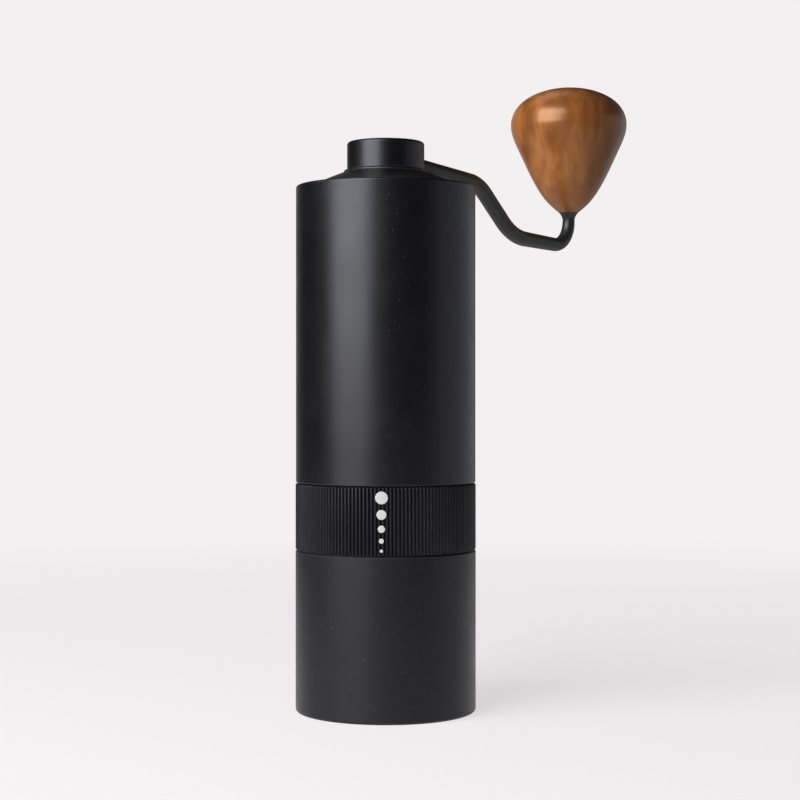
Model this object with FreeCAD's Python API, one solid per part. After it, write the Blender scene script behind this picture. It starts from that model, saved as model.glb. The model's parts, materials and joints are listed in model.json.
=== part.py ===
import FreeCAD, Part

import math
import os

# Hand crank coffee grinder with a conical burr set, built as it comes apart on a bench.
# Units are millimetres. The origin is the centre of the face it stands on, +Z is up, and the crank
# points along +X. Radii end in _R, levels along the axis end in _Z.

# --- Driving dimensions: outside -------------------------------------------------------------------
CUP_HEIGHT = 46.7          # catch cup, floor to rim
GRIP_HEIGHT = 19.0         # ribbed sleeve
UPPER_HEIGHT = 86.0        # smooth barrel above the sleeve
BARREL_R = 26.0
BARREL_WALL = 3.9          # at the hopper
RIM_EDGE = 0.7             # rounding of the barrel's upper corner
SEAM = 0.1                 # visible gap between cup and barrel
EDGE = 0.5                 # chamfer on the outside corners

# --- Driving dimensions: clearances ----------------------------------------------------------------
FIT = 0.02                 # radial gap of a pressed or glued fit
RUN = 0.05                 # radial or axial gap of a running fit
SLIP = 0.15                # radial gap of a push-on spigot
SEAL_GAP = 0.02            # left between a seal and the bore that it presses on

# --- Driving dimensions: grip sleeve ---------------------------------------------------------------
GRIP_PROUD = 0.1           # stands out past the barrel
GRIP_THICKNESS = 1.2
RIB_COUNT = 150
RIB_DEPTH = 0.38
RIB_CREST_SHARE = 0.45     # flat crest, as a share of one rib's pitch

# --- Driving dimensions: catch cup -----------------------------------------------------------------
CUP_PROUD = 0.1
CUP_WALL = 2.0
CUP_FLOOR = 2.4
CUP_FOOT_EDGE = 0.9        # rounding under the foot
CUP_CORNER = 3.0           # rounding inside the floor
SPIGOT_LENGTH = 5.0        # carrier spigot that the cup pushes onto
SEAL_SECTION_R = 0.75      # round section of the cup and lid seals

# --- Driving dimensions: burrs ---------------------------------------------------------------------
BRIDGE_STEP = 1.1          # the lower bore is this much wider than the hopper
CARRIER_WALL = 1.2         # around the ring burr
RING_BURR_WALL = 2.7       # at the lower edge, where it is thinnest
RING_BURR_HEIGHT = 13.0
BURR_BELOW_BARREL = 2.0    # the burrs' lower faces, below the barrel's end
BURR_GAP = 0.25            # radial grinding gap at rest
FINE_HEIGHT = 6.0          # height of the fine cutting zone
FINE_TAPER = 0.4           # radius lost per millimetre of height in the fine zone
CONE_HEIGHT = 16.2         # inner burr, base to nose
NOSE_WALL = 1.8            # at the nose, around the spring's pocket
THROAT_NECK = 0.65         # ring burr narrows by this above the fine zone
FINE_TEETH = 36
CRUSHER_TEETH = 6
CRUSHER_DEPTH = 1.3        # at the nose
FEED_UP = 0.45             # inner burr's travel towards finer

# --- Driving dimensions: shaft, bearings, spring ---------------------------------------------------
SHAFT_R = 4.0
HEX_INSET = 0.074          # hexagon's corners, inside the round shaft
THREAD_STEP = 0.4          # adjusting thread's crest, inside the hexagon's flats
BEARING_R = 8.0
BEARING_WIDTH = 5.0
RACE_SHARE = 0.3125        # of the bearing's radial section, for one race
BALL_SHARE = 0.25          # of that section, for a ball's radius
CAGE_SHARE = 0.15
BALL_COUNT = 9
SEAT_WALL = 2.2            # housing around a bearing
SEAT_LIP = 1.2             # housing past a bearing's face
SPOKE_WIDTH = 5.0
SPOKE_COUNT = 3
BRIDGE_BELOW_RIM = 37.0    # upper bridge's top face
BRIDGE_HEIGHT = 7.0
BRIDGE_RIM = 2.4           # radial width of the bridge's outer ring
SPRING_GAP = 0.75          # radial, between the shaft and the burr spring's coil
SPRING_WIRE_R = 0.45
SPRING_POCKET_GAP = 0.35   # radial, around that coil in the inner burr
SPRING_HALF_TURNS = 10
WASHER_T = 0.5
CLIP_T = 0.8

# --- Driving dimensions: adjusting dial ------------------------------------------------------------
DIAL_R = 12.0
DIAL_HEIGHT = 6.5
DIAL_SCALLOPS = 12
DIAL_POCKET_DEPTH = 3.0    # recess under the inner burr that the dial sits in
CLICKS = 24
DETENT_INSET = 3.5         # ring of dimples, inside the dial's edge
DETENT_BALL_R = 1.0

# --- Driving dimensions: lid -----------------------------------------------------------------------
LID_SEAT = 1.0             # rebate in the rim, radial
LID_FLANGE = 1.3
LID_SPIGOT_LENGTH = 5.0
LID_RISE = 4.2             # top of the lid above the rim
LID_BULGE = 0.12           # crowning of the sloping top
LID_LIP = 0.4              # raised lip around the crank's hub
LID_LIP_WIDTH = 0.8
LID_LEDGE = 1.4            # level ring outside the sloping top
LID_SHELL = 2.0
JOURNAL_R = 6.5            # crank hub's journal in the lid
BUSH_WALL = 1.3
BUSH_FLANGE_T = 1.0
BUSH_FLANGE_WIDTH = 0.8

# --- Driving dimensions: crank ---------------------------------------------------------------------
HUB_R = 11.2
HUB_LIFT = 0.2             # gap under the hub
HUB_HEIGHT = 8.4
HUB_EDGE = 0.9
CRANK_REACH = 93.45        # axis to knob axis
ARM_ROOT_R = 2.5
ARM_ELBOW_R = 2.38
ARM_TIP_R = 2.0
ARM_ENTRY = 3.95           # arm's centreline at the axis, above the hub's underside
ARM_SLOPE = 0.086          # fall per millimetre on the upper run
ARM_DROP = 15.26           # fall over the slanted run
ARM_DROP_RUN = 17.9        # length of the slanted run along X
ARM_LOW_RUN = 31.3         # elbow to knob axis
ARM_LOW_SLOPE = 0.047
SHOULDER_BEND = 13.5       # centreline radii of the three bends
ELBOW_BEND = 19.7
STEM_BEND = 8.0
STEM_STRAIGHT = 0.3        # between the last bend and the shoulder that carries the knob

# --- Driving dimensions: knob ----------------------------------------------------------------------
KNOB_R = 18.85
KNOB_HEIGHT = 40.7
KNOB_FOOT_R = 3.2
KNOB_WAIST = 29.6          # height of the widest level above the foot
FERRULE_FLARE = 2.6        # height of the flared collar under the knob
FERRULE_R = 2.4            # sleeve inside the wood
FERRULE_LENGTH = 15.2
AXLE_R = 1.45

# --- Levels and radii that follow ------------------------------------------------------------------
GRIP_Z = CUP_HEIGHT + SEAM                     # barrel's lower end
GRIP_TOP_Z = GRIP_Z + GRIP_HEIGHT
RIM_Z = GRIP_TOP_Z + UPPER_HEIGHT
GRIP_R = BARREL_R + GRIP_PROUD
SLEEVE_SEAT_R = GRIP_R - GRIP_THICKNESS
HOPPER_R = BARREL_R - BARREL_WALL
BORE_R = HOPPER_R + BRIDGE_STEP
LID_SEAT_R = HOPPER_R + LID_SEAT

CUP_R = BARREL_R + CUP_PROUD
CUP_BORE_R = CUP_R - CUP_WALL
SPIGOT_R = CUP_BORE_R - SLIP
SPIGOT_Z = GRIP_Z - SPIGOT_LENGTH

HEX_FLATS = math.sqrt(3) * (SHAFT_R - HEX_INSET)
THREAD_R = HEX_FLATS / 2 - THREAD_STEP
BEARING_SECTION = BEARING_R - SHAFT_R
RACE_WALL = RACE_SHARE * BEARING_SECTION
BALL_R = BALL_SHARE * BEARING_SECTION
SPRING_R = SHAFT_R + SPRING_GAP + SPRING_WIRE_R
SPRING_OUTER_R = SPRING_R + SPRING_WIRE_R
SPRING_POCKET_R = SPRING_OUTER_R + SPRING_POCKET_GAP
CONE_NOSE_R = SPRING_POCKET_R + NOSE_WALL
DETENT_R = DIAL_R - DETENT_INSET

CARRIER_R = BORE_R - FIT
RING_BURR_R = CARRIER_R - CARRIER_WALL - FIT
BURR_Z = GRIP_Z - BURR_BELOW_BARREL
RING_TOP_Z = BURR_Z + RING_BURR_HEIGHT
RING_BASE_R = RING_BURR_R - RING_BURR_WALL
RING_FINE_R = RING_BASE_R - FINE_TAPER * FINE_HEIGHT
THROAT_R = RING_FINE_R - THROAT_NECK
CONE_BASE_R = RING_BASE_R - BURR_GAP
CONE_FINE_R = RING_FINE_R - BURR_GAP
CONE_TOP_Z = BURR_Z + CONE_HEIGHT

SEAT_R = BEARING_R + SEAT_WALL
LOWER_SEAT_Z = CONE_TOP_Z + FEED_UP + 1.85     # underside of the lower bearing's housing
LOWER_BEARING_Z = LOWER_SEAT_Z + SEAT_LIP
LOWER_HUB_TOP_Z = LOWER_BEARING_Z + BEARING_WIDTH + SEAT_LIP
CARRIER_TOP_Z = LOWER_HUB_TOP_Z + 0.8
BRIDGE_TOP_Z = RIM_Z - BRIDGE_BELOW_RIM
BRIDGE_Z = BRIDGE_TOP_Z - BRIDGE_HEIGHT
UPPER_BEARING_Z = BRIDGE_Z + SEAT_LIP

POCKET_Z = BURR_Z + DIAL_POCKET_DEPTH          # face of the inner burr that the dial presses on
POCKET_R = DIAL_R + 1.0
DIAL_TOP_Z = POCKET_Z - RUN
DIAL_Z = DIAL_TOP_Z - DIAL_HEIGHT
SHAFT_END_Z = DIAL_Z + 0.6
HEX_END_Z = DIAL_TOP_Z + FEED_UP + 0.2         # lower hex stops above the dial's highest place
SPRING_SEAT_Z = POCKET_Z + 5.2                 # floor of the spring's pocket in the inner burr
WASHER_Z = LOWER_BEARING_Z - WASHER_T - FIT

HUB_Z = RIM_Z + LID_RISE + HUB_LIFT
HUB_TOP_Z = HUB_Z + HUB_HEIGHT
BUSH_R = JOURNAL_R + RUN + BUSH_WALL
BUSH_TOP_Z = HUB_Z - RUN
LID_UNDER_Z = RIM_Z - LID_FLANGE
LID_BOTTOM_Z = LID_UNDER_Z - LID_SPIGOT_LENGTH
BOSS_R = BUSH_R + 2.5
BOSS_Z = LID_BOTTOM_Z + 1.8
CLIP_Z = BOSS_Z - 0.2 - CLIP_T
JOURNAL_Z = CLIP_Z - 0.8
CRANK_HEX_Z = JOURNAL_Z - 0.6
SHAFT_TOP_Z = HUB_Z + 0.35
SOCKET_TOP_Z = SHAFT_TOP_Z + 0.7

ELBOW_X = CRANK_REACH - ARM_LOW_RUN
SHOULDER_X = ELBOW_X - ARM_DROP_RUN
ARM_Z = HUB_Z + ARM_ENTRY                      # arm's centreline, carried to the axis
SHOULDER_Z = ARM_Z - ARM_SLOPE * SHOULDER_X
ELBOW_Z = SHOULDER_Z - ARM_DROP
STEM_FOOT_Z = ELBOW_Z - ARM_LOW_SLOPE * ARM_LOW_RUN
STEM_TURN = math.pi / 2 + math.atan(ARM_LOW_SLOPE)
STEM_TOP_Z = STEM_FOOT_Z + STEM_BEND * math.tan(STEM_TURN / 2) + STEM_STRAIGHT
ARM_ROOT_X = HEX_FLATS / math.sqrt(3) + 0.8    # arm's inner end, clear of the hex socket
SET_SCREW_X = (ARM_ROOT_X + HUB_R) / 2         # middle of the arm's hold in the hub

KNOB_Z = STEM_TOP_Z + RUN + FERRULE_FLARE
FERRULE_TOP_Z = KNOB_Z + FERRULE_LENGTH
AXLE_TOP_Z = FERRULE_TOP_Z + RUN

ROUND = 1 - math.sqrt(0.5)                     # how far a rounded corner's middle is set in
Z_AXIS = FreeCAD.Vector(0, 0, 1)
ORIGIN = FreeCAD.Vector(0, 0, 0)


# --- Shape helpers ---------------------------------------------------------------------------------
def outline(path):
    """Closed face in the XZ plane. A point is (x, z), or (x, z, mid_x, mid_z) where an arc ends there."""
    edges = []
    for before, point in zip(path[-1:] + path[:-1], path):
        start = FreeCAD.Vector(before[0], 0, before[1])
        end = FreeCAD.Vector(point[0], 0, point[1])
        if (end - start).Length < 1e-6:
            continue
        if len(point) == 4:
            middle = FreeCAD.Vector(point[2], 0, point[3])
            edges.append(Part.Arc(start, middle, end).toShape())
        else:
            edges.append(Part.LineSegment(start, end).toShape())
    return Part.Face(Part.Wire(edges))


def turned(path):
    """Solid of revolution about the Z axis."""
    return outline(path).revolve(ORIGIN, Z_AXIS, 360)


def tube(inner_r, outer_r, low_z, high_z):
    """Round tube, or a rod where inner_r is 0."""
    rod = Part.makeCylinder(outer_r, high_z - low_z, FreeCAD.Vector(0, 0, low_z))
    if inner_r <= 0:
        return rod
    hole = Part.makeCylinder(inner_r, high_z - low_z + 2, FreeCAD.Vector(0, 0, low_z - 1))
    return rod.cut(hole)


def hexagon(flats, low_z, high_z):
    """Upright hexagonal prism on the axis."""
    corner_r = flats / math.sqrt(3)
    turns = [math.radians(60 * i) for i in range(6)]
    corners = [FreeCAD.Vector(corner_r * math.cos(a), corner_r * math.sin(a), low_z) for a in turns]
    face = Part.Face(Part.makePolygon(corners + corners[:1]))
    return face.extrude(FreeCAD.Vector(0, 0, high_z - low_z))


def block(low, high):
    """Box between two corners."""
    size = [b - a for a, b in zip(low, high)]
    return Part.makeBox(size[0], size[1], size[2], FreeCAD.Vector(*low))


def around(shape, count, start=0.0):
    """The shape copied evenly round the Z axis, as a list."""
    copies = []
    for i in range(count):
        copy = shape.copy()
        copy.rotate(ORIGIN, Z_AXIS, start + 360.0 * i / count)
        copies.append(copy)
    return copies


def seal_ring(bore_r, z):
    """Round seal that presses outwards on a bore."""
    return Part.makeTorus(bore_r - SEAL_GAP - SEAL_SECTION_R, SEAL_SECTION_R, FreeCAD.Vector(0, 0, z))


def seal_groove(bore_r, z):
    """What a spigot loses to hold that seal."""
    floor_r = bore_r - SEAL_GAP - 2 * SEAL_SECTION_R - SEAL_GAP
    half = SEAL_SECTION_R + 0.1
    return tube(floor_r, bore_r + 1, z - half, z + half)


def snap_ring(inner_r, outer_r, z, lugs_inside):
    """Retaining ring with a gap at +X and two lugs with plier holes."""
    ring = tube(inner_r, outer_r, z, z + CLIP_T)
    lug_r = 1.25
    centre_r = inner_r - 0.55 if lugs_inside else outer_r + 0.25
    gap = 0.8
    side = math.degrees(math.asin((gap + lug_r) / centre_r))
    reach = centre_r - lug_r - 1.0
    mouth = block((reach, -gap, z - 1), (outer_r + lug_r + 2, gap, z + CLIP_T + 1))
    for turn in (-side, side):
        lug = Part.makeCylinder(lug_r, CLIP_T, FreeCAD.Vector(centre_r, 0, z))
        hole = Part.makeCylinder(0.5, CLIP_T + 2, FreeCAD.Vector(centre_r, 0, z - 1))
        for shape in (lug, hole):
            shape.rotate(ORIGIN, Z_AXIS, turn)
        ring = ring.fuse(lug).cut(hole)
    return ring.cut(mouth).removeSplitter()


def coil(mean_r, wire_r, low_z, high_z, half_turns):
    """Compression spring: tilted half rings that meet end to end, its wire between the two levels."""
    rise = (high_z - low_z - 2 * wire_r) / half_turns
    ring_r = math.hypot(mean_r, rise / 2)
    wire = Part.Wire(Part.makeCircle(wire_r, FreeCAD.Vector(ring_r, 0, 0), FreeCAD.Vector(0, 1, 0)))
    halves = []
    for i in range(half_turns):
        half = Part.Face(wire).revolve(ORIGIN, Z_AXIS, 180)
        half.rotate(ORIGIN, FreeCAD.Vector(0, 1, 0), math.degrees(math.atan2(rise / 2, mean_r)))
        half.rotate(ORIGIN, Z_AXIS, 180 * (i % 2))
        half.translate(FreeCAD.Vector(0, 0, low_z + wire_r + rise * (i + 0.5)))
        halves.append(half)
    return halves[0].multiFuse(halves[1:])


def rounded_path(corners, radii):
    """Wire of straight runs in the XZ plane, joined by tangent arcs at the inner corners."""
    points = [FreeCAD.Vector(x, 0, z) for x, z in corners]
    edges, start = [], points[0]
    for before, corner, after, radius in zip(points, points[1:], points[2:], radii):
        back, ahead = (before - corner).normalize(), (after - corner).normalize()
        half = back.getAngle(ahead) / 2
        leg = radius / math.tan(half)
        inward = (back + ahead).normalize()
        middle = corner + inward * (radius / math.sin(half) - radius)
        first, last = corner + back * leg, corner + ahead * leg
        edges += [Part.LineSegment(start, first).toShape(), Part.Arc(first, middle, last).toShape()]
        start = last
    edges.append(Part.LineSegment(start, points[-1]).toShape())
    return Part.Wire(edges)


def spokes(inner_r, outer_r, low_z, high_z):
    """Straight arms from a hub to an outer ring."""
    arm = block((inner_r, -SPOKE_WIDTH / 2, low_z), (outer_r, SPOKE_WIDTH / 2, high_z))
    return around(arm, SPOKE_COUNT)


def slanted_cutter(low, high, width, depth, lean):
    """Wedge that cuts one tooth gap in a cone, from (radius, z) to (radius, z), leaning round the axis."""
    wires = []
    for (r, z), turn in ((low, 0.0), (high, lean)):
        corners = [
            FreeCAD.Vector(r - depth, 0, z),
            FreeCAD.Vector(r + depth, -width, z),
            FreeCAD.Vector(r + depth, width, z),
        ]
        wire = Part.makePolygon(corners + corners[:1])
        wire.rotate(ORIGIN, Z_AXIS, turn)
        wires.append(wire)
    return Part.makeLoft(wires, True, True)


# --- Body: barrel, sleeve, carrier, ring burr ------------------------------------------------------
def barrel():
    """Turned tube: hopper above, wider bore for the bridge and carrier below, seat for the sleeve."""
    body = turned([
        (BORE_R, GRIP_Z),
        (SLEEVE_SEAT_R, GRIP_Z),
        (SLEEVE_SEAT_R, GRIP_TOP_Z),
        (BARREL_R - EDGE, GRIP_TOP_Z),
        (BARREL_R, GRIP_TOP_Z + EDGE),
        (BARREL_R, RIM_Z - RIM_EDGE),
        (BARREL_R - RIM_EDGE, RIM_Z, BARREL_R - ROUND * RIM_EDGE, RIM_Z - ROUND * RIM_EDGE),
        (LID_SEAT_R, RIM_Z),
        (LID_SEAT_R, LID_UNDER_Z),
        (HOPPER_R + EDGE, LID_UNDER_Z),
        (HOPPER_R, LID_UNDER_Z - EDGE),
        (HOPPER_R, BRIDGE_TOP_Z),
        (BORE_R, BRIDGE_TOP_Z),
    ])
    clip_groove = tube(BORE_R - 1, BORE_R + 0.6, BRIDGE_Z - CLIP_T - 2 * FIT, BRIDGE_Z - FIT)
    return body.cut(Part.makeCompound([clip_groove] + [screw_hole(s) for s in screw_turns()]))


def grip_sleeve():
    """Ribbed sleeve: one outline with a flat crest and a narrow valley for each rib."""
    pitch = 360.0 / RIB_COUNT
    crest = pitch * RIB_CREST_SHARE / 2
    corners = []
    for i in range(RIB_COUNT):
        for turn, r in ((-crest, GRIP_R), (crest, GRIP_R), (pitch / 2, GRIP_R - RIB_DEPTH)):
            a = math.radians(i * pitch + turn)
            corners.append(FreeCAD.Vector(r * math.cos(a), r * math.sin(a), GRIP_Z))
    face = Part.Face(Part.makePolygon(corners + corners[:1]))
    ribs = face.extrude(FreeCAD.Vector(0, 0, GRIP_HEIGHT - SEAM))
    top = GRIP_TOP_Z - SEAM
    envelope = turned([
        (SLEEVE_SEAT_R + FIT, GRIP_Z),
        (GRIP_R - EDGE, GRIP_Z),
        (GRIP_R, GRIP_Z + EDGE),
        (GRIP_R, top - EDGE),
        (GRIP_R - EDGE, top),
        (SLEEVE_SEAT_R + FIT, top),
    ])
    return ribs.common(envelope)


SCREW_R = 1.25
SCREW_HEAD_R = 2.2
SCREW_HEAD_T = 1.0
SCREW_LENGTH = 5.0
SCREW_SINK = 0.15
SCREW_Z = RING_TOP_Z + 2.3                     # through the thick foot of the carrier's funnel


def screw_turns():
    """Directions of the carrier's screws, half way between the spokes."""
    return [360.0 * (i + 0.5) / SPOKE_COUNT for i in range(SPOKE_COUNT)]


def radial(shape, turn, r):
    """Moves a shape that was drawn along +Z from the origin so that it points outwards at radius r."""
    shape.rotate(ORIGIN, FreeCAD.Vector(0, 1, 0), 90)
    shape.translate(FreeCAD.Vector(r, 0, SCREW_Z))
    shape.rotate(ORIGIN, Z_AXIS, turn)
    return shape


def screw_hole(turn):
    """Countersunk radial hole through the barrel and into the carrier."""
    length = SCREW_LENGTH + 0.3
    sink_depth = SCREW_HEAD_T + SCREW_SINK
    hole = Part.makeCylinder(SCREW_R + FIT, length)
    top_r = SCREW_HEAD_R + FIT
    sink = Part.makeCone(SCREW_R + FIT, top_r, SCREW_HEAD_T, FreeCAD.Vector(0, 0, length - sink_depth))
    sink = sink.fuse(Part.makeCylinder(top_r, sink_depth, FreeCAD.Vector(0, 0, length - SCREW_SINK)))
    return radial(hole.fuse(sink), turn, SLEEVE_SEAT_R - length)


def carrier_screws():
    """Countersunk screws under the sleeve that hold the carrier in the barrel."""
    screws = []
    for turn in screw_turns():
        screw = Part.makeCylinder(SCREW_R, SCREW_LENGTH)
        head_z = SCREW_LENGTH - SCREW_HEAD_T
        screw = screw.fuse(Part.makeCone(SCREW_R, SCREW_HEAD_R, SCREW_HEAD_T, FreeCAD.Vector(0, 0, head_z)))
        screw = screw.cut(hexagon(1.5, SCREW_LENGTH - 0.8, SCREW_LENGTH + 1))
        screws.append(radial(screw, turn, SLEEVE_SEAT_R - SCREW_SINK - SCREW_LENGTH))
    return Part.makeCompound(screws)


def burr_carrier():
    """Housing in the barrel's lower end: ring burr below, funnel above, lower bearing on spokes."""
    burr_seat_r = RING_BURR_R + FIT
    funnel_top_r = CARRIER_R - 0.8
    shell = turned([
        (burr_seat_r, SPIGOT_Z),
        (SPIGOT_R - EDGE, SPIGOT_Z),
        (SPIGOT_R, SPIGOT_Z + EDGE),
        (SPIGOT_R, GRIP_Z - FIT),
        (CARRIER_R, GRIP_Z - FIT),
        (CARRIER_R, CARRIER_TOP_Z),
        (funnel_top_r, CARRIER_TOP_Z),
        (THROAT_R + 1.0, RING_TOP_Z + 1.0),
        (THROAT_R + 1.0, RING_TOP_Z + FIT),
        (burr_seat_r, RING_TOP_Z + FIT),
    ])
    hub = tube(0, SEAT_R, LOWER_SEAT_Z, LOWER_HUB_TOP_Z)
    arms = spokes(SHAFT_R, CARRIER_R - 1.0, LOWER_SEAT_Z + 0.5, LOWER_HUB_TOP_Z - 0.5)
    housing = shell.fuse([hub] + arms)
    bearing_seat = tube(0, BEARING_R + FIT, LOWER_SEAT_Z - 1, LOWER_BEARING_Z + BEARING_WIDTH + FIT)
    lip_bore = tube(0, BEARING_R - RACE_WALL, LOWER_SEAT_Z, LOWER_HUB_TOP_Z + 1)
    return housing.cut(Part.makeCompound(
        [bearing_seat, lip_bore, seal_groove(CUP_BORE_R, SPIGOT_Z + SPIGOT_LENGTH / 2)]
        + [screw_hole(s) for s in screw_turns()]
    ))


def ring_burr():
    """Fixed outer burr with slanted teeth on its cone."""
    body = turned([
        (RING_BASE_R, BURR_Z),
        (RING_BURR_R, BURR_Z),
        (RING_BURR_R, RING_TOP_Z),
        (THROAT_R + 1.0, RING_TOP_Z),
        (THROAT_R, RING_TOP_Z - 2.0),
        (RING_FINE_R, BURR_Z + FINE_HEIGHT),
    ])
    low = (RING_BASE_R + FINE_TAPER, BURR_Z - 1)
    high = (RING_FINE_R - FINE_TAPER, BURR_Z + FINE_HEIGHT + 1)
    gap = slanted_cutter(low, high, -0.55, -0.5, 12.0)
    return body.cut(Part.makeCompound(around(gap, FINE_TEETH)))


def burr_lock_ring():
    """Threaded ring that clamps the ring burr from below, with four spanner slots."""
    ring = tube(RING_BASE_R + 0.6, RING_BURR_R, SPIGOT_Z, BURR_Z - FIT)
    slot = block((RING_BASE_R, -1.5, SPIGOT_Z - 1), (RING_BURR_R + 1, 1.5, SPIGOT_Z + 1.4))
    return ring.cut(Part.makeCompound(around(slot, 4)))


def upper_bridge():
    """Three-spoke bridge across the hopper that holds the upper bearing."""
    rim = tube(BORE_R - FIT - BRIDGE_RIM, BORE_R - FIT, BRIDGE_Z, BRIDGE_TOP_Z - FIT)
    hub = tube(0, SEAT_R, BRIDGE_Z, BRIDGE_TOP_Z - FIT)
    arms = spokes(SHAFT_R, BORE_R - FIT - 1.0, BRIDGE_Z, BRIDGE_TOP_Z - 1.0)
    bridge = rim.fuse([hub] + arms)
    seat = tube(0, BEARING_R + FIT, UPPER_BEARING_Z - FIT, BRIDGE_TOP_Z + 1)
    lip_bore = tube(0, BEARING_R - RACE_WALL, BRIDGE_Z - 1, BRIDGE_TOP_Z)
    return bridge.cut(seat.fuse(lip_bore))


def bridge_clip():
    """Internal snap ring below the bridge."""
    z = BRIDGE_Z - CLIP_T - FIT - FIT / 2
    return snap_ring(BORE_R - 1.4, BORE_R + 0.5, z, True)


# --- Bearings --------------------------------------------------------------------------------------
def bearing(low_z):
    """Shielded ball bearing, as its separate pieces."""
    pitch_r = (SHAFT_R + FIT + BEARING_R) / 2
    middle_z = low_z + BEARING_WIDTH / 2
    track = Part.makeTorus(pitch_r, BALL_R + 0.02, FreeCAD.Vector(0, 0, middle_z))
    ball = Part.makeSphere(BALL_R, FreeCAD.Vector(pitch_r, 0, middle_z))
    centre = FreeCAD.Vector(0, 0, middle_z)
    pocket = Part.makeCylinder(BALL_R + 0.06, pitch_r + 1, centre, FreeCAD.Vector(1, 0, 0))
    cage_t, cage_half = CAGE_SHARE * BEARING_SECTION, BALL_R + 0.35
    cage = tube(pitch_r - cage_t / 2, pitch_r + cage_t / 2, middle_z - cage_half, middle_z + cage_half)
    inner_wall_r, outer_wall_r = SHAFT_R + FIT + RACE_WALL, BEARING_R - RACE_WALL
    shields = [
        tube(inner_wall_r + RUN, outer_wall_r, z, z + 0.25)
        for z in (low_z + 0.35, low_z + BEARING_WIDTH - 0.6)
    ]
    high_z = low_z + BEARING_WIDTH
    return {
        "outer_race": tube(outer_wall_r, BEARING_R, low_z, high_z).cut(track),
        "inner_race": tube(SHAFT_R + FIT, inner_wall_r, low_z, high_z).cut(track),
        "balls": Part.makeCompound(around(ball, BALL_COUNT)),
        "cage": cage.cut(Part.makeCompound(around(pocket, BALL_COUNT))),
        "shields": Part.makeCompound(shields),
    }


# --- Shaft, inner burr, dial -----------------------------------------------------------------------
def drive_shaft():
    """Round shaft, hexagonal where the crank and the inner burr drive it, threaded at its lower end."""
    burr_hex_top_z = CONE_TOP_Z - 1.5
    shaft = tube(0, THREAD_R, SHAFT_END_Z, HEX_END_Z).fuse([
        hexagon(HEX_FLATS, HEX_END_Z, burr_hex_top_z),
        tube(0, SHAFT_R, burr_hex_top_z, CRANK_HEX_Z),
        hexagon(HEX_FLATS, CRANK_HEX_Z, SHAFT_TOP_Z),
    ])
    clip_z = UPPER_BEARING_Z + BEARING_WIDTH + FIT
    return shaft.cut(tube(SHAFT_R - 0.6, SHAFT_R + 1, clip_z, clip_z + CLIP_T + FIT))


def shaft_clip():
    """E-shaped clip in the shaft's groove, on the upper bearing's inner race."""
    z = UPPER_BEARING_Z + BEARING_WIDTH + FIT + FIT / 2
    ring = tube(SHAFT_R - 0.6 + FIT, SHAFT_R + RACE_WALL + 0.4, z, z + CLIP_T)
    mouth = block((0, -(SHAFT_R - 1.0), z - 1), (SHAFT_R + 3, SHAFT_R - 1.0, z + CLIP_T + 1))
    return ring.cut(mouth)


def spring_washer():
    """Plain washer between the lower bearing's inner race and the burr spring."""
    return tube(SHAFT_R + RUN, SPRING_OUTER_R + 2 * RUN, WASHER_Z, WASHER_Z + WASHER_T)


def main_spring():
    """Spring that holds the inner burr down on the dial."""
    return coil(SPRING_R, SPRING_WIRE_R, SPRING_SEAT_Z + RUN, WASHER_Z - RUN, SPRING_HALF_TURNS)


def dimple(turn, z):
    """Shallow seat for a detent ball."""
    ball = Part.makeSphere(DETENT_BALL_R + 0.05, FreeCAD.Vector(DETENT_R, 0, z))
    ball.rotate(ORIGIN, Z_AXIS, turn)
    return ball


DIMPLE_Z = POCKET_Z - 0.72 * DETENT_BALL_R     # centre of a ball seated in a dimple
DETENT_Z = DIAL_TOP_Z - DETENT_BALL_R          # centre of a ball pressed in, as between two clicks


def inner_burr():
    """Turning cone: fine teeth round the base, a few large crushing teeth up to the nose."""
    body = turned([
        (0, POCKET_Z),
        (POCKET_R, POCKET_Z),
        (POCKET_R, BURR_Z),
        (CONE_BASE_R, BURR_Z),
        (CONE_FINE_R, BURR_Z + FINE_HEIGHT),
        (CONE_NOSE_R, CONE_TOP_Z),
        (0, CONE_TOP_Z),
    ])
    fine = slanted_cutter(
        (CONE_BASE_R + FINE_TAPER, BURR_Z - 1),
        (CONE_FINE_R - FINE_TAPER, BURR_Z + FINE_HEIGHT + 1),
        0.55, 0.5, -14.0,
    )
    crusher = slanted_cutter(
        (CONE_FINE_R + 0.3, BURR_Z + FINE_HEIGHT - 1.0),
        (CONE_NOSE_R - 0.3, CONE_TOP_Z + 0.5),
        2.4, CRUSHER_DEPTH, -38.0,
    )
    spring_pocket = tube(0, SPRING_POCKET_R, SPRING_SEAT_Z, CONE_TOP_Z + 1)
    drive_hole = hexagon(HEX_FLATS + 2 * RUN, POCKET_Z - 1, SPRING_SEAT_Z + 1)
    cutters = around(fine, FINE_TEETH) + around(crusher, CRUSHER_TEETH)
    cutters += [dimple(360.0 * i / CLICKS, DIMPLE_Z) for i in range(CLICKS)]
    return body.cut(Part.makeCompound(cutters)).cut(spring_pocket.fuse(drive_hole))


DETENT_POCKET_DEPTH = 3.2


def adjust_dial():
    """Scalloped nut on the shaft's thread, with two pockets for the detents."""
    dial = tube(THREAD_R + RUN, DIAL_R, DIAL_Z, DIAL_TOP_Z)
    scallop = Part.makeCylinder(1.4, DIAL_HEIGHT, FreeCAD.Vector(DIAL_R + 0.6, 0, DIAL_Z - 1.5))
    pocket = Part.makeCylinder(
        DETENT_BALL_R + RUN, DETENT_POCKET_DEPTH + 1, FreeCAD.Vector(DETENT_R, 0, DIAL_TOP_Z - DETENT_POCKET_DEPTH)
    )
    return dial.cut(Part.makeCompound(around(scallop, DIAL_SCALLOPS) + around(pocket, 2)))


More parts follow.
